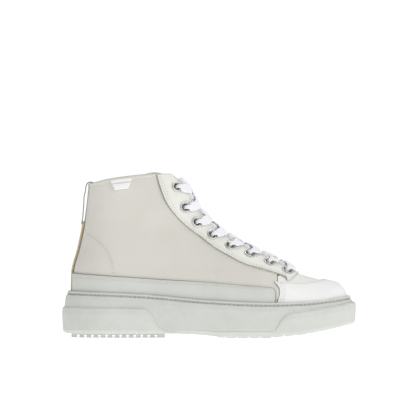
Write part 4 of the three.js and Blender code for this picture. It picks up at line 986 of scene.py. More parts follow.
@dataclass
class Upper:
    """The quarters, eyestays, foxings, vamp and toe bumper, cut and sewn over the last."""

    last: Last
    wardrobe: Wardrobe
    canvas: float = 1.1
    overlay_back: float = 0.5
    overlay_face: float = 1.7
    lining_face: float = -3.3
    lining_back: float = -4.2
    seam_overlap: float = 8.0
    throat_front_half: float = 9.5
    throat_half: float = 12.5
    eyelet_first: float = 11.5
    eyelet_pitch: float = 18.9
    eyelet_set_back: float = 13.0
    eyelet_count: int = 8
    hole_radius: float = 4.0
    tuck: float = 6.0
    stitch_first: float = 2.1
    stitch_second: float = 4.1

    def __post_init__(self) -> None:
        """Works out the seams that the panels share."""
        last = self.last
        a, boot = last.along, last.boot
        seam = [
            (-0.013, 0.7647), (0.011, 0.7607), (0.04, 0.7443), (0.091, 0.6903), (0.148, 0.6203),
            (0.224, 0.5667), (0.327, 0.5047), (0.4, 0.4717), (0.494, 0.426), (0.621, 0.3803),
            (0.749, 0.3487), (0.902, 0.328), (1.0, 0.319)]
        self.eyestay_seam = curve_through([(boot(z), a(x)) for z, x in seam])
        self.vamp_seam = a(0.733)
        self.foxing_top = curve_through([
            (a(0.04), 65.8), (a(0.333), 59.8), (a(0.455), 57.5), (a(0.531), 55.7), (a(0.718), 50.9)])
        self.bumper_rear = a(0.7195)
        top = last.toe_top
        self.bumper_top = curve_through([
            (self.bumper_rear, top - 1.8), (a(0.7977), top - 4.4), (a(0.8557), top - 3.2),
            (a(0.901), top), (a(0.97), top + 5.0)])
        self.throat_front = a(0.803)
        none, one = np.zeros(()), np.ones(())
        self.throat_row = float(bisect(lambda v: last.ridge(v)[0] > self.throat_front, none, one))
        tip = a(0.765)

        def tip_below(v: Array) -> Array:
            """Whether the row passes the eyestay's tip below its height."""
            return last.side_view(last.row_at_x(tip, v), v)[1] < top - 0.6

        self.tip_row = float(bisect(tip_below, none, one))

    def quarter_front(self, z: Array) -> Array:
        """X of the quarter's front edge at a height."""
        return np.minimum(self.vamp_seam, self.eyestay_seam(z) + self.seam_overlap)

    def tucked(self, x: Array) -> Array:
        """Height of the overlays' lower edges, just inside the cup."""
        return self.last.lip(x) - self.tuck

    def throat_half_at(self, v: Array) -> Array:
        """Half the throat's width at row v."""
        wide = mix(self.throat_front_half, self.throat_half, smoothstep(v, self.throat_row, 0.8))
        start = smoothstep(v, self.throat_row, self.throat_row + self.last.rows_for(9.0))
        return mix(3.0, wide, start)

    def throat_edge(self, v: Array) -> Array:
        """The share u of the throat's edge on row v."""
        return self.last.from_instep(self.throat_half_at(v), v)

    def eyestay_end(self, v: Array) -> Array:
        """The share u of the eyestay's front edge: the throat, or the curve before it."""
        share = np.clip((v - self.tip_row) / (self.throat_row - self.tip_row), 0.0, 1.0)
        front = self.last.row_at_x(mix(self.last.along(0.775), self.throat_front, share), v)
        return np.where(v >= self.throat_row, self.throat_edge(np.maximum(v, self.throat_row)), front)

    @staticmethod
    def on_side(u: Array, side: Side) -> Array:
        """A place on one side of the shoe for a share u."""
        return u if side is Side.LATERAL else 2.0 - u

    def eyelet_places(self, side: Side) -> tuple[Array, Array]:
        """Points and normals of the eyelets' middles on one side."""
        levels = np.arange(self.eyelet_count)
        v = 1.0 - self.last.rows_for(1.0) * (self.eyelet_first + levels * self.eyelet_pitch)
        edge = self.throat_edge(v)
        start = self.last.surface(self.on_side(edge, side), v)[0]

        def too_near(u: Array) -> Array:
            """Whether the place is still further from the throat's edge than the set-back."""
            point = self.last.surface(self.on_side(u, side), v)[0]
            return np.linalg.norm(point - start, axis=-1) > self.eyelet_set_back

        u = bisect(too_near, edge - 0.5, edge)
        return self.last.surface(self.on_side(u, side), v)

    def panel(self, v: Array, start: Array, end: Array, across: Array, side: Side) -> tuple[Array, Array]:
        """A grid between two edges given by row, on one side."""
        u = mix(start[:, None], end[:, None], across[None, :])
        return self.last.surface(self.on_side(u, side), np.broadcast_to(v[:, None], u.shape))

    def band(self, lower: Curve, upper: Curve, low: tuple[float, float], high: tuple[float, float],
             up: Array, across: Array) -> tuple[Array, Array]:
        """A grid between two height lines.

        Args:
            lower, upper: the height lines.
            low, high: start and end places on each line.
            up, across: shares of the rows and columns.
        Returns:
            Points and normals.
        """
        places, rows = [], []
        for line, (start, end) in ((lower, low), (upper, high)):
            place = mix(start, end, across)
            fold = np.where(place > 1.0, 2.0 - place, np.abs(place))
            places.append(place)
            rows.append(self.last.row_at_height(fold, line))
        grid = mix(places[0][None], places[1][None], up[:, None])
        return self.last.surface(grid, mix(rows[0][None], rows[1][None], up[:, None]))

    def cloth_sag(self, points: Array, seed: float) -> Array:
        """Slight unevenness of pulled cloth, in mm, with a few soft creases.

        Each crease is a groove with a ridge above it, both bell curves across a line
        between two places of the side view, fading at its ends.
        """
        sag = 0.28 * ripple(points, 46.0, seed) + 0.1 * ripple(points, 17.0, seed + 2.0)
        place = points[..., [0, 2]]
        for (x0, z0), (x1, z1), depth in CREASES:
            heading = np.array([x1 - x0, z1 - z0])
            length = np.hypot(*heading)
            away = place - np.array([x0, z0])
            along = away @ heading / length ** 2
            across = (away[..., 0] * heading[1] - away[..., 1] * heading[0]) / length
            bend = CREASE_BEND * np.sin(np.pi * np.clip(along, 0.0, 1.0))
            fade = np.clip(1.0 - (2.0 * along - 1.0) ** 2, 0.0, 1.0)
            sag = sag + depth * fade * (
                np.exp(-((across + bend + RIDGE_ABOVE) / RIDGE_WIDTH) ** 2)
                - np.exp(-((across + bend) / GROOVE_WIDTH) ** 2))
        return sag

    def holes(self, points: Array, side: Side, radius: float) -> Array:
        """Which cells of a grid stay, with those inside the eyelets' bores left out."""
        centres, axes = self.eyelet_places(side)
        middle = (points[:-1, :-1] + points[1:, :-1] + points[:-1, 1:] + points[1:, 1:]) / 4.0
        away = middle[:, :, None] - centres
        along = (away * axes).sum(axis=-1, keepdims=True) * axes
        return (np.linalg.norm(away - along, axis=-1) > radius).all(axis=-1)

    def build_quarter(self, side: Side) -> None:
        """The canvas quarter and its lining on one side."""
        last, label = self.last, side.label
        v = rim_steps(60, 150.0, first=False)
        across = rim_steps(100, 190.0)
        grid = self.panel(v, last.from_heel(0.4, v), last.seam_on(v, self.quarter_front), across, side)
        outer = rolled(*grid[:1], 0.0, -self.canvas, 0.6, "se") + self.cloth_sag(grid[0], 1.0 + side.value) * 0.5
        piece = sheet(f"quarter_cloth_{label}", *grid, outer, -self.canvas)
        self.wardrobe.dress(piece, "canvas", [f"quarter_{label}"])

        lining_v = np.linspace(0.0, 0.97, 60)
        front = last.seam_on(lining_v, lambda z: np.minimum(
            self.vamp_seam, self.eyestay_seam(z) + self.seam_overlap / 2.0))
        grid = self.panel(lining_v, last.from_heel(0.4, lining_v), front, np.linspace(0, 1, 70), side)
        piece = sheet(f"lining_cloth_{label}", *grid, self.lining_face, self.lining_back)
        self.wardrobe.dress(piece, "lining", [f"lining_{label}"])

    def build_eyestay(self, side: Side) -> None:
        """The leather eyestay with its holes and two rows of stitching, and its facing."""
        last, label = self.last, side.label
        v = mix(self.tip_row, 0.998, rim_steps(190, 200.0))
        across = rim_steps(34, 26.0)
        grid = self.panel(v, last.seam_on(v, self.eyestay_seam), self.eyestay_end(v), across, side)
        outer = rolled(grid[0], self.overlay_face, self.overlay_back,
                       rows_at=(self.stitch_first, self.stitch_second))
        kept = self.holes(grid[0], side, self.hole_radius)
        piece = sheet(f"eyestay_hide_{label}", *grid, outer, self.overlay_back, kept, "s")
        self.wardrobe.dress(piece, "eyestay_leather", [f"eyestay_{label}"], edge="raw_edge")
        lift = grid[0] + grid[1] * (self.overlay_face - 0.05)
        rows = slice(6, -6)
        lines = [(lift[rows, 6], grid[1][rows, 6]), (lift[rows, 9], grid[1][rows, 9]),
                 (lift[rows, -7], grid[1][rows, -7])]
        piece = stitches(f"eyestay_stitching_{label}", lines)
        self.wardrobe.dress(piece, "seam_thread", [])

        facing_v = np.linspace(self.throat_row + 0.01, 0.985, 170)
        grid = self.panel(facing_v, last.seam_on(facing_v, self.eyestay_seam) + 0.012,
                          self.throat_edge(facing_v), np.linspace(0.0, 1.0, 36), side)
        kept = self.holes(grid[0], side, self.hole_radius)
        piece = sheet(f"facing_layer_{label}", *grid, -self.canvas - 0.1, -2.7, kept)
        self.wardrobe.dress(piece, "lining", [f"facing_{label}"])

    def build_foxing(self, side: Side) -> None:
        """The low leather band with a double row of stitching under its top edge."""
        last, label = self.last, side.label

        def heel_end(height: Curve) -> float:
            """The share u where the band meets the heel strip."""
            def near(u: Array) -> Array:
                """Whether the place is still behind the strip's edge."""
                return last.off_centre(u, last.row_at_height(u, height)) < 11.0

            return float(bisect(near, np.zeros(()), np.full((), 0.4)))

        ends = []
        for height in (self.tucked, self.foxing_top):
            start, end = heel_end(height), last.x_along(self.bumper_rear - 0.5, height)
            ends.append((start, end) if side is Side.LATERAL else (-start, -end))
        grid = self.band(self.tucked, self.foxing_top, *ends, rim_steps(8, 24.0, first=False),
                         rim_steps(180, 215.0))
        outer = rolled(grid[0], self.overlay_face, self.overlay_back, crowded="fse",
                       rows_at=(self.stitch_first, self.stitch_second))
        piece = sheet(f"foxing_hide_{label}", *grid, outer + 0.12 * ripple(grid[0], 60.0, 3.0), self.overlay_back,
                      raw_edges="fe")
        self.wardrobe.dress(piece, "foxing_leather", [f"foxing_{label}"], edge="raw_edge")
        lift = grid[0] + grid[1] * (self.overlay_face - 0.05)
        lines = [(lift[-7, 4:-4], grid[1][-7, 4:-4]), (lift[-10, 4:-4], grid[1][-10, 4:-4])]
        self.wardrobe.dress(stitches(f"foxing_stitching_{label}", lines), "seam_thread", [])

    def build_counter_stitching(self, side: Side) -> None:
        """The curved rows that hold the heel counter, sewn through the quarter."""
        last = self.last
        a, boot = last.along, last.boot
        arc = curve_through([
            (boot(0.02), a(0.181)), (boot(0.114), a(0.177)), (boot(0.241), a(0.1617)),
            (boot(0.344), a(0.134)), (boot(0.44), a(0.086))])
        z = np.linspace(boot(0.055), boot(0.435), 90)
        for number, setback in enumerate((0.0, 2.2)):
            x = arc(z) - setback
            point, normal = last.surface_at(x, z, np.full_like(x, float(side.value)))
            piece = stitches(f"counter_stitching_{side.label}_{number + 1}", [(point + normal * 0.1, normal)])
            self.wardrobe.dress(piece, "seam_thread", [])

    def build_front(self) -> None:
        """The vamp over the toes, and the toe bumper with its seams."""
        last = self.last
        v = mix(0.0, self.throat_row - 0.004, np.linspace(0.0, 1.0, 70))
        start = last.seam_on(v, lambda z: self.quarter_front(z) + self.overlay_back)
        across = np.linspace(0.0, 1.0, 150)
        place = mix(start[:, None], 2.0 - start[:, None], across[None])
        grid = last.surface(place, np.broadcast_to(v[:, None], place.shape))
        crease = 0.18 * ripple(grid[0], 30.0, 4.0)
        piece = sheet("vamp_hide", *grid, crease, -self.canvas)
        self.wardrobe.dress(piece, "vamp_leather", ["vamp"])

        ends = [last.x_along(self.bumper_rear, line) for line in (self.tucked, self.bumper_top)]
        spans = [(u, 2.0 - u) for u in ends]
        grid = self.band(self.tucked, self.bumper_top, *spans, rim_steps(18, 30.0, first=False),
                         rim_steps(170, 190.0))
        outer = rolled(grid[0], self.overlay_face, self.overlay_back, crowded="fse",
                       rows_at=(self.stitch_first, self.stitch_second))
        piece = sheet("bumper_hide", *grid, outer, self.overlay_back, raw_edges="se", raw_width=0.5)
        self.wardrobe.dress(piece, "toe_leather", ["toe_bumper"], edge="raw_edge")
        lift = grid[0] + grid[1] * (self.overlay_face - 0.05)
        lines = [(lift[-7, 8:-8], grid[1][-7, 8:-8])]
        for column in (6, 9, -7, -10):
            lines.append((lift[:-6, column], grid[1][:-6, column]))
        self.wardrobe.dress(stitches("bumper_stitching", lines, 2.8, 2.0), "seam_thread", [])

    def build(self) -> None:
        """Cuts and sews every panel."""
        for side in Side:
            self.build_quarter(side)
            self.build_eyestay(side)
            self.build_foxing(side)
            self.build_counter_stitching(side)
        self.build_front()


# --------------------------------------------------------------- eyelets and lace
@dataclass
class Lacing:
    """The nickel eyelets and the flat lace that is threaded through them."""

    upper: Upper
    wardrobe: Wardrobe
    bore: float = 3.0
    flange: float = 5.75
    flange_under: float = 2.0
    depth: float = -3.2
    segments: int = 48

    def eyelet(self, side: Side, level: int, point: Array, normal: Array) -> None:
        """One eyelet: a closed profile turned round its own axis, dished towards its hole."""
        base = self.flange_under - 0.25
        profile = np.array([
            (self.bore, self.depth), (self.bore + 0.6, self.depth), (self.bore + 0.65, base),
            (self.flange - 0.2, base), (self.flange, base + 0.25), (self.flange - 0.06, base + 0.62),
            (self.flange - 0.35, base + 0.98), (self.flange - 0.8, base + 1.14), (self.flange - 1.25, base + 1.06),
            (self.flange - 1.7, base + 0.72), (self.bore + 0.62, base + 0.45), (self.bore + 0.25, base + 0.12),
            (self.bore + 0.03, base - 0.6), (self.bore, base - 1.6)])
        turn = np.linspace(0.0, 2.0 * np.pi, self.segments, endpoint=False)
        side_way = unit(np.cross(normal, np.array([0.3, 0.2, 1.0])))
        up_way = np.cross(normal, side_way)
        spoke = side_way * np.cos(turn)[:, None] + up_way * np.sin(turn)[:, None]
        rings = point + spoke[:, None] * profile[None, :, :1] + normal * profile[None, :, 1:]
        piece = loft(f"eyelet_ring_{side.label}_{level + 1}", rings, looped=True)
        self.wardrobe.dress(piece, "nickel", [f"eyelet_{side.label}_{level + 1}"])

    def lace(self) -> None:
        """The lace: its route smoothed by a cubic through every point, with a plump flat section.

        The section is a squared-off ellipse, |a|^2.6 + |b|^2.6 = 1, stretched to the half
        width and half thickness at each point.
        """
        route = np.array(LACE_ROUTE, float).reshape(-1, 7) / 10.0 - np.append(SHIFT, [0.0] * 4)
        steps = 4
        smooth = through_points(route, np.arange((len(route) - 1) * steps + 1) / steps)
        centre, wide, thick = smooth[:, :3], smooth[:, 3:6], smooth[:, 6:]
        along = unit(np.gradient(centre, axis=0))
        half = np.linalg.norm(wide, axis=-1, keepdims=True)
        flatness = smoothstep(half, 2.4, 3.8)
        half = half + 0.85 * flatness
        thick = thick + 0.45 * flatness
        across = unit(wide - along * (wide * along).sum(axis=-1, keepdims=True))
        out = np.cross(along, across)
        turn = np.linspace(0.0, 2.0 * np.pi, 18, endpoint=False)
        swell = 1.0 / (np.abs(np.cos(turn)) ** 2.6 + np.abs(np.sin(turn)) ** 2.6) ** (1.0 / 2.6)
        a, b = np.cos(turn) * swell, np.sin(turn) * swell
        rings = (centre[:, None] + across[:, None] * (half * a)[:, :, None]
                 + out[:, None] * (thick * b * (1.0 - 0.12 * np.cos(2 * turn) ** 2))[:, :, None])
        travel = np.concatenate([[0.0], np.cumsum(np.linalg.norm(np.diff(centre, axis=0), axis=-1))])
        girth = np.cumsum(np.hypot(np.gradient(3.8 * a), np.gradient(0.65 * b)))
        cloth = np.stack([np.broadcast_to(travel[:, None], rings.shape[:2]),
                          np.broadcast_to(girth, rings.shape[:2])], axis=-1)
        piece = loft("lace_cord", rings, uv=cloth)
        self.wardrobe.dress(piece, "lace", ["lace"])

    def build(self) -> None:
        """Sets the eyelets and threads the lace."""
        for side in Side:
            points, normals = self.upper.eyelet_places(side)
            for level, (point, normal) in enumerate(zip(points, normals)):
                self.eyelet(side, level, point, normal)
        self.lace()


# ------------------------------------------------------------ collar, tab and heel
@dataclass
class Collar:
    """The padded collar with its rolled edge, and the blank tab on the outer side."""

    upper: Upper
    wardrobe: Wardrobe
    pad_low: float = 0.8
    pad_high: float = 0.985
    pad_swell: float = 3.4
    edge_half_width: float = 2.75
    edge_half_height: float = 1.7

    def collar_end(self) -> float:
        """The share u where the collar's padding meets the eyestays."""
        return float(self.upper.last.seam_on(np.ones(()), self.upper.eyestay_seam)) - 0.01

    def build_pad(self) -> None:
        """The padding inside the collar: a crowned pad whose ends and borders pull in.

        Its swell is a sine arch across its height times a quick rise at both ends, with
        shallow tucks along it.
        """
        last = self.upper.last
        v = np.linspace(self.pad_low, self.pad_high, 46)
        end = last.seam_on(v, self.upper.eyestay_seam) - 0.01
        across = np.linspace(0.0, 1.0, 200)
        place = mix(end[:, None], -end[:, None], across[None])
        points, normals = last.surface(place, np.broadcast_to(v[:, None], place.shape))
        arch = np.sin(np.pi * np.linspace(0.0, 1.0, 46))[:, None] ** 0.55
        taper = np.minimum(1.0, np.minimum(across, 1.0 - across) / 0.05)[None] ** 0.5
        swell = self.pad_swell * arch * taper * (1.0 + 0.06 * ripple(points, 24.0, 0.7))
        piece = sheet("collar_pad", points, normals, -1.5, -4.25 - swell)
        self.wardrobe.dress(piece, "lining", ["collar_foam"])

    def build_edge(self) -> None:
        """The rolled binding over the collar's edge, a squashed round section carried along it."""
        last = self.upper.last
        end = self.collar_end() + 0.006
        place = np.linspace(end, -end, 260)
        points, normals = last.surface(place, np.ones(260))
        out = unit(normals * np.array([1.0, 1.0, 0.0]))
        turn = np.linspace(0.0, 2.0 * np.pi, 22, endpoint=False)
        middle = points + out * -1.9 + np.array([0.0, 0.0, -0.9])
        up = np.array([0.0, 0.0, 1.0])
        wide = self.edge_half_width * np.cos(turn)
        high = self.edge_half_height * np.sin(turn)
        wide = np.sign(wide) * self.edge_half_width * np.abs(np.cos(turn)) ** 0.8
        rings = middle[:, None] + out[:, None] * wide[:, None] + up * high[:, None]
        piece = loft("collar_edge", rings)
        self.wardrobe.dress(piece, "canvas", ["collar_binding"])
        line = points - np.array([0.0, 0.0, 2.6])
        line = line + normals * 0.15
        self.wardrobe.dress(stitches("collar_stitching", [(line, normals)]), "seam_thread", [])

    def build_tab(self) -> None:
        """The small folded tab under the collar, fuller along its lower fold."""
        upper, last = self.upper, self.upper.last

        def top(x: Array) -> Array:
            """Height of the tab's top edge."""
            return last.collar_line(x) - 0.8

        def bottom(x: Array) -> Array:
            """Height of the tab's bottom edge."""
            return last.collar_line(x) - 11.3

        ends = [(last.x_along(last.along(start), line), last.x_along(last.along(end), line))
                for start, end, line in ((0.1797, 0.2253, bottom), (0.1637, 0.239, top))]
        grid = upper.band(bottom, top, *ends, rim_steps(8, 10.8), rim_steps(14, 19.0))
        rise = 0.9 * smoothstep(np.linspace(1.0, 0.0, len(grid[0])), 0.25, 0.9)[:, None]
        outer = rolled(grid[0], 1.9, 0.3, 1.0) + rise
        piece = sheet("tab_cloth", *grid, outer, 0.3)
        self.wardrobe.dress(piece, "tab", ["side_tab"])

    def build(self) -> None:
        """Pads and binds the collar and sews its tab on."""
        self.build_pad()
        self.build_edge()
        self.build_tab()


@dataclass
class HeelTrim:
    """The suede strip up the heel and the webbing pull loop above it."""

    upper: Upper
    wardrobe: Wardrobe
    strip_half: float = 9.0
    loop_half: float = 7.0
    loop_thick: float = 1.15
    loop_bulge: float = 3.4

    def build_strip(self) -> None:
        """The strip, rolled at its sides and sewn down along both."""
        last = self.upper.last
        top = last.lip_heel + (last.collar_back - last.lip_heel) * 0.65

        def level(x: Array) -> Array:
            """Height of the strip's top edge."""
            return np.full_like(np.asarray(x, float), top)

        edges = []
        for line in (self.upper.tucked, level):
            def near(u: Array, line: Curve = line) -> Array:
                """Whether the place is within the strip's half width."""
                return last.off_centre(u, last.row_at_height(u, line)) < self.strip_half

            edge = float(bisect(near, np.zeros(()), np.full((), 0.4)))
            edges.append((edge, -edge))
        grid = self.upper.band(self.upper.tucked, level, *edges, rim_steps(60, 78.0, first=False),
                               rim_steps(12, 20.0))
        outer = rolled(grid[0], 1.75, 0.5, crowded="fse", rows_at=(self.upper.stitch_first,))
        piece = sheet("heel_strip", *grid, outer, 0.5)
        self.wardrobe.dress(piece, "suede", ["backstay"])
        lift = grid[0] + grid[1] * 1.65
        lines = [(lift[:-4, column], grid[1][:-4, column]) for column in (6, -7)]
        self.wardrobe.dress(stitches("heel_strip_stitching", lines), "seam_thread", [])

    def build_loop(self) -> None:
        """The webbing loop: a flat strap with thick selvedges along its smooth path."""
        last = self.upper.last
        back, bulge = last.collar_back, self.loop_bulge
        over = back + 2.2
        top = last.lip_heel + (back - last.lip_heel) * 0.65
        path = np.array([
            (5.6, back - 9), (5.7, back - 1), (4.9, over - 1.2), (2.2, over - 0.2), (-0.9, over - 0.9),
            (-2.6, back - 1.5), (-bulge + 0.7, back - 7), (-bulge, back - 13), (-bulge + 0.5, back - 21),
            (-2.6, top + 10), (-2.3, top + 5), (-2.3, top - 3.0)])
        smooth = through_points(path, np.linspace(0, len(path) - 1, 90))
        centre = np.stack([last.heel_line(smooth[:, 1]) + smooth[:, 0], np.zeros(90), smooth[:, 1]], axis=-1)
        along = unit(np.gradient(centre, axis=0))
        out = np.stack([-along[:, 2], np.zeros(90), along[:, 0]], axis=-1)
        y = np.concatenate([np.linspace(-1, 1, 26), np.linspace(1, -1, 26)])
        face = np.concatenate([np.ones(26), -np.ones(26)])
        body = np.sqrt(np.clip(1.0 - np.abs(y) ** 14, 0.0, 1.0)) * (0.85 + 0.3 * (np.abs(y) > 0.86))
        thick = self.loop_thick / 2.0 * face * np.maximum(body, 0.02)
        rings = (centre[:, None] + out[:, None] * thick[:, None]
                 + np.array([0.0, 1.0, 0.0]) * (self.loop_half * y)[:, None])
        travel = np.concatenate([[0.0], np.cumsum(np.linalg.norm(np.diff(centre, axis=0), axis=-1))])
        cloth = np.stack([np.broadcast_to(travel[:, None], rings.shape[:2]),
                          np.broadcast_to(self.loop_half * y, rings.shape[:2])], axis=-1)
        piece = loft("pull_loop_webbing", rings, uv=cloth)
        self.wardrobe.dress(piece, "webbing", ["pull_loop"])
        cross = np.stack([np.zeros(12), np.linspace(-5.6, 5.6, 12), np.zeros(12)], axis=-1)
        lines = []
        for station in (84, 78):
            normal = out[station] * (1.0 if out[station, 0] < 0 else -1.0)
            lines.append((centre[station] + cross + normal * 0.55, np.broadcast_to(normal, (12, 3))))
        self.wardrobe.dress(stitches("pull_loop_stitching", lines, 1.9, 1.5, 0.3), "seam_thread", [])

    def build(self) -> None:
        """Sews on the strip and the loop."""
        self.build_strip()
        self.build_loop()


@dataclass
class Tongue:
    """The padded tongue under the lace."""

    upper: Upper
    wardrobe: Wardrobe
    thickness: float = 5.4
    rise: float = 16.0
    top_row: float = 0.965
    narrow: float = 15.0
    wide: float = 23.0

    def build(self) -> None:
        """A crowned pad, thin at its border and full along its middle, with a sewn edge channel."""
        last, upper = self.upper.last, self.upper
        base = upper.throat_row - last.rows_for(9.0)
        span = last.ridge_curves[2] * (self.top_row - base)
        up = rim_steps(110, 195.0)
        across = rim_steps(34, 44.0)
        t = up * (1.0 + self.rise / span)
        v = mix(base, self.top_row, np.minimum(1.0, t))
        half = mix(self.narrow, self.wide, smoothstep(v, base, base + 0.2))
        corner = np.sqrt(np.clip(1.0 - np.clip((up - 0.965) / 0.035, 0.0, 1.0) ** 2 * 0.35, 0.0, 1.0))
        edge = last.from_instep(half * corner, v)
        place = mix(edge[:, None], 2.0 - edge[:, None], across[None])
        points, normals = last.surface(place, np.broadcast_to(v[:, None], place.shape))
        ends = np.stack(last.ridge(np.array([0.97, 1.0])), axis=-1)
        heading = unit(np.array([ends[1, 0] - ends[0, 0], 0.0, ends[1, 1] - ends[0, 1]]))
        beyond = np.maximum(0.0, t - 1.0) * span
        sink = smoothstep(v, base, upper.throat_row + last.rows_for(3.0))
        depth = mix(upper.lining_back - 0.6, upper.lining_back - 2.6, sink)
        points = points + heading * beyond[:, None, None] + normals * depth[:, None, None]
        distance = edge_distance(points)
        share = np.clip(distance / 2.4, 0.0, 1.0)
        full = np.sqrt(np.clip(1.0 - (1.0 - share) ** 2, 0.0, 1.0))
        channel = np.exp(-((distance - 5.5) / 1.1) ** 2)
        crown = smoothstep(distance, 4.0, 15.0)
        front = -self.thickness / 2.0 + full * (self.thickness / 2.0 - 0.6) - 0.7 * channel + 0.5 * crown
        back = -self.thickness / 2.0 - full * (self.thickness / 2.0 - 0.5) + 0.6 * channel - 0.9 * crown
        piece = sheet("tongue_pad", points, normals, front, back)
        self.wardrobe.dress(piece, "tongue_fabric", ["tongue_outer", "tongue_foam", "tongue_lining"], "tongue")


# ------------------------------------------------------------------------- the sole
@dataclass
class Sole:
    """The cupsole with its stitched groove and proud blocks, and the sockliner in it."""

    last: Last
    wardrobe: Wardrobe
    cup_wall: float = 2.8
    lip_thickness: float = 1.3
    wall_bulge: float = 4.0
    block_proud: float = 2.6
    floor: float = 4.5
    stations: int = 110

    def __post_init__(self) -> None:
        """Works out the offsets and the blocks' outline."""
        a = self.last.along
        self.cup_lip = self.cup_wall + self.lip_thickness
        self.side_face = self.cup_lip + self.wall_bulge
        self.block_top = curve_through([
            (a(0), 31.5), (a(0.277), 30.5), (a(0.295), 27.5), (a(0.347), 7.5), (a(0.5), 7.5),
            (a(0.716), 7.5), (a(0.744), 19.2), (a(0.772), 24.9), (a(0.845), 28.6), (a(0.922), 32.8),
            (a(0.987), 38.0)])

    def block_face(self, x: Array) -> Array:
        """Offset of the side, proud at the heel and toe blocks."""
        a = self.last.along
        heel = 1.0 - smoothstep(x, a(0.28), a(0.345))
        return self.side_face + self.block_proud * (heel + smoothstep(x, a(0.715), a(0.75)))

    def ring(self, offset: Callable | float, height: Callable | float,
             plan: Curve | None = None) -> tuple[Array, Array]:
        """A ring round the shoe: the last's outline at plan height, pushed out and set at height.

        Args:
            offset: distance out from the outline, or a function of X.
            height: the ring's height, or a function of X.
            plan: height at which the outline is taken, the lip if not given.
        Returns:
            Points and outward directions, outer side first and back along the inner.
        """
        last = self.last
        plan = plan or last.lip
        share = (1.0 - np.cos(np.pi * np.arange(self.stations + 1) / self.stations)) / 2.0
        x = mix(-last.sole_length / 2.0, last.sole_length / 2.0, share)
        for _ in range(3):
            z = plan(x)
            end = bisect(lambda v, z=z: last.ridge(v)[1] < z, np.zeros_like(z), np.full_like(z, 0.15))
            x = mix(last.heel_line(z), last.ridge(end)[0], share)
        halves = []
        for sign in (-1.0, 1.0):
            point, normal = last.surface_at(x, plan(x), np.full_like(x, sign))
            normal[[0, -1], 1] = 0.0
            out = unit(normal * np.array([1.0, 1.0, 0.0]))
            push = offset(x) if callable(offset) else offset
            point = point + out * np.broadcast_to(push, x.shape)[:, None]
            point[:, 2] = height(x) if callable(height) else height
            halves.append((point, out))
        (outer, out_a), (inner, out_b) = halves
        return (np.concatenate([outer, inner[1:-1][::-1]]), np.concatenate([out_a, out_b[1:-1][::-1]]))

    @staticmethod
    def strips(start: int, count: int, flip: bool) -> list[Array]:
        """Faces that shut a ring from side to side."""
        i = np.arange(1, count // 2 - 1)
        a, b = start + i, start + i + 1
        c, d = start + count - i - 1, start + count - i
        quads = np.stack([a, d, c, b], axis=-1)
        ends = np.array([[start, start + count - 1, start + 1],
                         [start + count // 2 - 1, start + count // 2 + 1, start + count // 2]])
        return [quads[:, ::-1], ends[:, ::-1]] if flip else [quads, ends]

    def skin(self, name: str, rings: Sequence[Array]) -> bpy.types.Object:
        """A closed body over rings, shut from side to side at its first and last."""
        count = len(rings[0])
        index = np.arange(len(rings) * count).reshape(len(rings), count)
        around = np.roll(index, -1, axis=1)
        quads = np.stack([index[:-1], around[:-1], around[1:], index[1:]], axis=-1).reshape(-1, 4)
        faces = [quads] + self.strips(0, count, False)
        faces += self.strips((len(rings) - 1) * count, count, True)
        return make_object(name, np.concatenate(rings), faces)

    @staticmethod
    def between(rings: Sequence[Array], held: Sequence[float] = (0.06, 0.5, 0.94)) -> list[Array]:
        """More rings between each pair, close to both so that corners stay crisp."""
        fine = []
        for low, high in zip(rings[:-1], rings[1:]):
            fine.append(low)
            fine.extend(mix(low, high, share) for share in held)
        return fine + [rings[-1]]

    def build_cup(self) -> None:
        """The cup: out along the underside, up the wall, over the lip and down inside."""
        last = self.last
        lip, under, top, face = last.lip, last.underside, self.block_top, self.block_face

        def below_lip(drop: float) -> Curve:
            """A height line this far below the lip."""
            return lambda x: lip(x) - drop

        lip_out, side = self.cup_lip, self.side_face
        outer = [
            (lambda x: face(x) - 4.0, under), (lambda x: face(x) - 2.0, lambda x: under(x) + 0.7),
            (lambda x: face(x) - 0.8, lambda x: under(x) + 3.0),
            (face, lambda x: mix(under(x) + 3.0, top(x), 0.7)),
            (lambda x: face(x) - 0.5, lambda x: top(x) - 1.1),
            (lambda x: mix(face(x), side, 0.85), lambda x: top(x) - 0.1),
            (side, lambda x: top(x) + 0.3), (side - 0.8, below_lip(8.5)), (lip_out + 2.2, below_lip(4.6)),
            (lip_out + 1.8, below_lip(4.0)), (lip_out + 0.3, below_lip(3.8)), (lip_out + 0.3, below_lip(2.0)),
            (lip_out + 0.9, below_lip(1.8)), (lip_out + 0.75, below_lip(0.5)), (lip_out + 0.1, lip),
            (self.cup_wall, lip)]
        rings = [self.ring(offset, height)[0] for offset, height in outer]
        half_drop = last.feather_drop / 2.0
        inner = [self.ring(self.cup_wall, below_lip(half_drop), below_lip(half_drop))[0],
                 self.ring(self.cup_wall, last.feather, last.feather)[0],
                 self.ring(self.cup_wall - 0.4, lambda x: under(x) + self.floor, last.feather)[0]]
        piece = self.skin("cupsole_rubber", self.between(rings) + inner)
        self.wardrobe.dress(piece, "sole_rubber", ["cupsole"])
        groove = self.ring(lip_out + 0.72, below_lip(2.9))
        # The thread finish here is greyer partly as painted shade of the groove.
        piece = stitches("sidewall_stitching", [groove], 4.6, 3.7, 0.42, closed=True)
        self.wardrobe.dress(piece, "thread", ["sidewall_thread"])

    def build_sockliner(self) -> None:
        """The cushioned sockliner, a soft-edged slab cupped a little round its border."""
        last = self.last
        offset = -4.2 - 2.2

        def board(x: Array) -> Array:
            """Height of the board that it lies on."""
            return last.feather(x) - 0.5 + 0.3 + 1.6 + 0.3

        def plan(x: Array) -> Array:
            """Height at which the outline is taken."""
            return last.feather(x) + 4.0

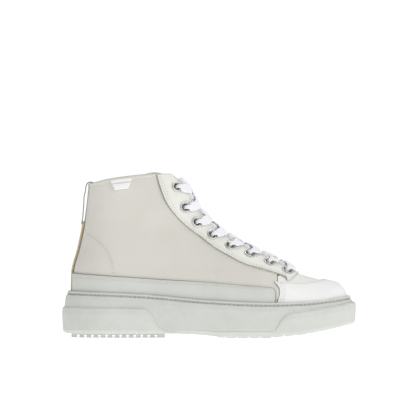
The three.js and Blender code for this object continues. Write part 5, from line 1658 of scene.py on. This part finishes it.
        levels = [(-3.0, 0.0), (-0.6, 0.05), (-0.2, 0.7), (0.0, 1.8), (-0.15, 2.8), (-0.7, 3.45),
                  (-1.5, 3.6), (-4.0, 3.35), (-8.0, 3.15)]
        rings = [self.ring(offset + out, lambda x, up=up: board(x) + up, plan)[0] for out, up in levels]
        piece = self.skin("sockliner_pad", rings)
        self.wardrobe.dress(piece, "lining", ["sockliner"], "sockliner")

    def build(self) -> None:
        """Moulds the cup and lays the sockliner in."""
        self.build_cup()
        self.build_sockliner()


# ------------------------------------------------------------------------ the studio
@dataclass
class Studio:
    """A white floor and white world with broad soft light, and the camera level with the outer side."""

    aim: tuple[float, float, float] = (0.001, 0.0, 0.1298)
    frame_width: float = 0.4292
    elevation: float = 1.2
    distance: float = 9.0
    floor_half: float = 40.0
    floor_glow: float = 0.6
    wall_light: float = 0.5
    key_place: tuple[float, float, float] = (1.5, -1.5, 1.5)
    key_size: float = 1.2
    key_power: float = 13.0
    top_place: tuple[float, float, float] = (0.1, 0.3, 2.0)
    top_size: float = 0.9
    top_power: float = 10.0

    def camera(self) -> None:
        """A parallel camera on the outer side."""
        data = bpy.data.cameras.new("camera")
        data.type = "ORTHO"
        data.ortho_scale = self.frame_width
        data.clip_end = 90.0
        camera = bpy.data.objects.new("camera", data)
        tilt = math.radians(self.elevation)
        x, y, z = self.aim
        camera.location = (x, y - self.distance * math.cos(tilt), z + self.distance * math.sin(tilt))
        camera.rotation_euler = (math.pi / 2.0 - tilt, 0.0, 0.0)
        bpy.context.scene.collection.objects.link(camera)
        bpy.context.scene.camera = camera

    def floor(self) -> None:
        """A pale floor, wide enough to fill every view."""
        half = self.floor_half
        mesh = bpy.data.meshes.new("floor")
        mesh.from_pydata([(-half, -half, 0), (half, -half, 0), (half, half, 0), (-half, half, 0)], [], [(0, 1, 2, 3)])
        floor = bpy.data.objects.new("floor", mesh)
        bpy.context.scene.collection.objects.link(floor)
        graph = Graph("floor_white")
        graph.shader.inputs["Base Color"].default_value = (0.9, 0.9, 0.9, 1.0)
        graph.shader.inputs["Roughness"].default_value = 0.9
        graph.shader.inputs["Specular IOR Level"].default_value = 0.0
        graph.shader.inputs["Emission Color"].default_value = (1.0, 1.0, 1.0, 1.0)
        graph.shader.inputs["Emission Strength"].default_value = self.floor_glow
        mesh.materials.append(graph.material)

    def area(self, name: str, place: tuple[float, float, float], size: float, power: float) -> None:
        """A soft square light turned towards the shoe."""
        data = bpy.data.lights.new(name, "AREA")
        data.size = size
        data.energy = power
        lamp = bpy.data.objects.new(name, data)
        spot = np.array(place)
        lamp.location = place
        heading = np.array([0.0, 0.0, 0.08]) - spot
        yaw = math.atan2(heading[1], heading[0])
        pitch = math.atan2(math.hypot(heading[0], heading[1]), -heading[2])
        lamp.rotation_euler = (pitch, 0.0, yaw - math.pi / 2.0)
        bpy.context.scene.collection.objects.link(lamp)

    def build(self) -> None:
        """Sets the world, the floor and the lights."""
        scene = bpy.context.scene
        scene.view_settings.view_transform = "Standard"
        world = bpy.data.worlds.new("studio")
        scene.world = world
        world.use_nodes = True
        background = world.node_tree.nodes["Background"]
        background.inputs["Color"].default_value = (1.0, 1.0, 1.0, 1.0)
        background.inputs["Strength"].default_value = self.wall_light
        # Straight to the camera the studio wall is plain white; as light it is softer.
        tree = world.node_tree
        wall = tree.nodes.new("ShaderNodeBackground")
        wall.inputs["Color"].default_value = (1.0, 1.0, 1.0, 1.0)
        path = tree.nodes.new("ShaderNodeLightPath")
        mixed = tree.nodes.new("ShaderNodeMixShader")
        tree.links.new(path.outputs["Is Camera Ray"], mixed.inputs[0])
        tree.links.new(background.outputs[0], mixed.inputs[1])
        tree.links.new(wall.outputs[0], mixed.inputs[2])
        tree.links.new(mixed.outputs[0], tree.nodes["World Output"].inputs["Surface"])
        self.floor()
        self.area("key", self.key_place, self.key_size, self.key_power)
        self.area("top", self.top_place, self.top_size, self.top_power)


def main() -> None:
    """Builds the studio and the shoe in order, reporting each piece."""
    studio = Studio()
    studio.camera()
    studio.build()
    wardrobe = Wardrobe()
    wardrobe.redress_frame()
    last = Last()
    upper = Upper(last, wardrobe)
    Lacing(upper, wardrobe).build()
    upper.build()
    Collar(upper, wardrobe).build()
    HeelTrim(upper, wardrobe).build()
    Tongue(upper, wardrobe).build()
    Sole(last, wardrobe).build()


if __name__ == "__main__":
    main()
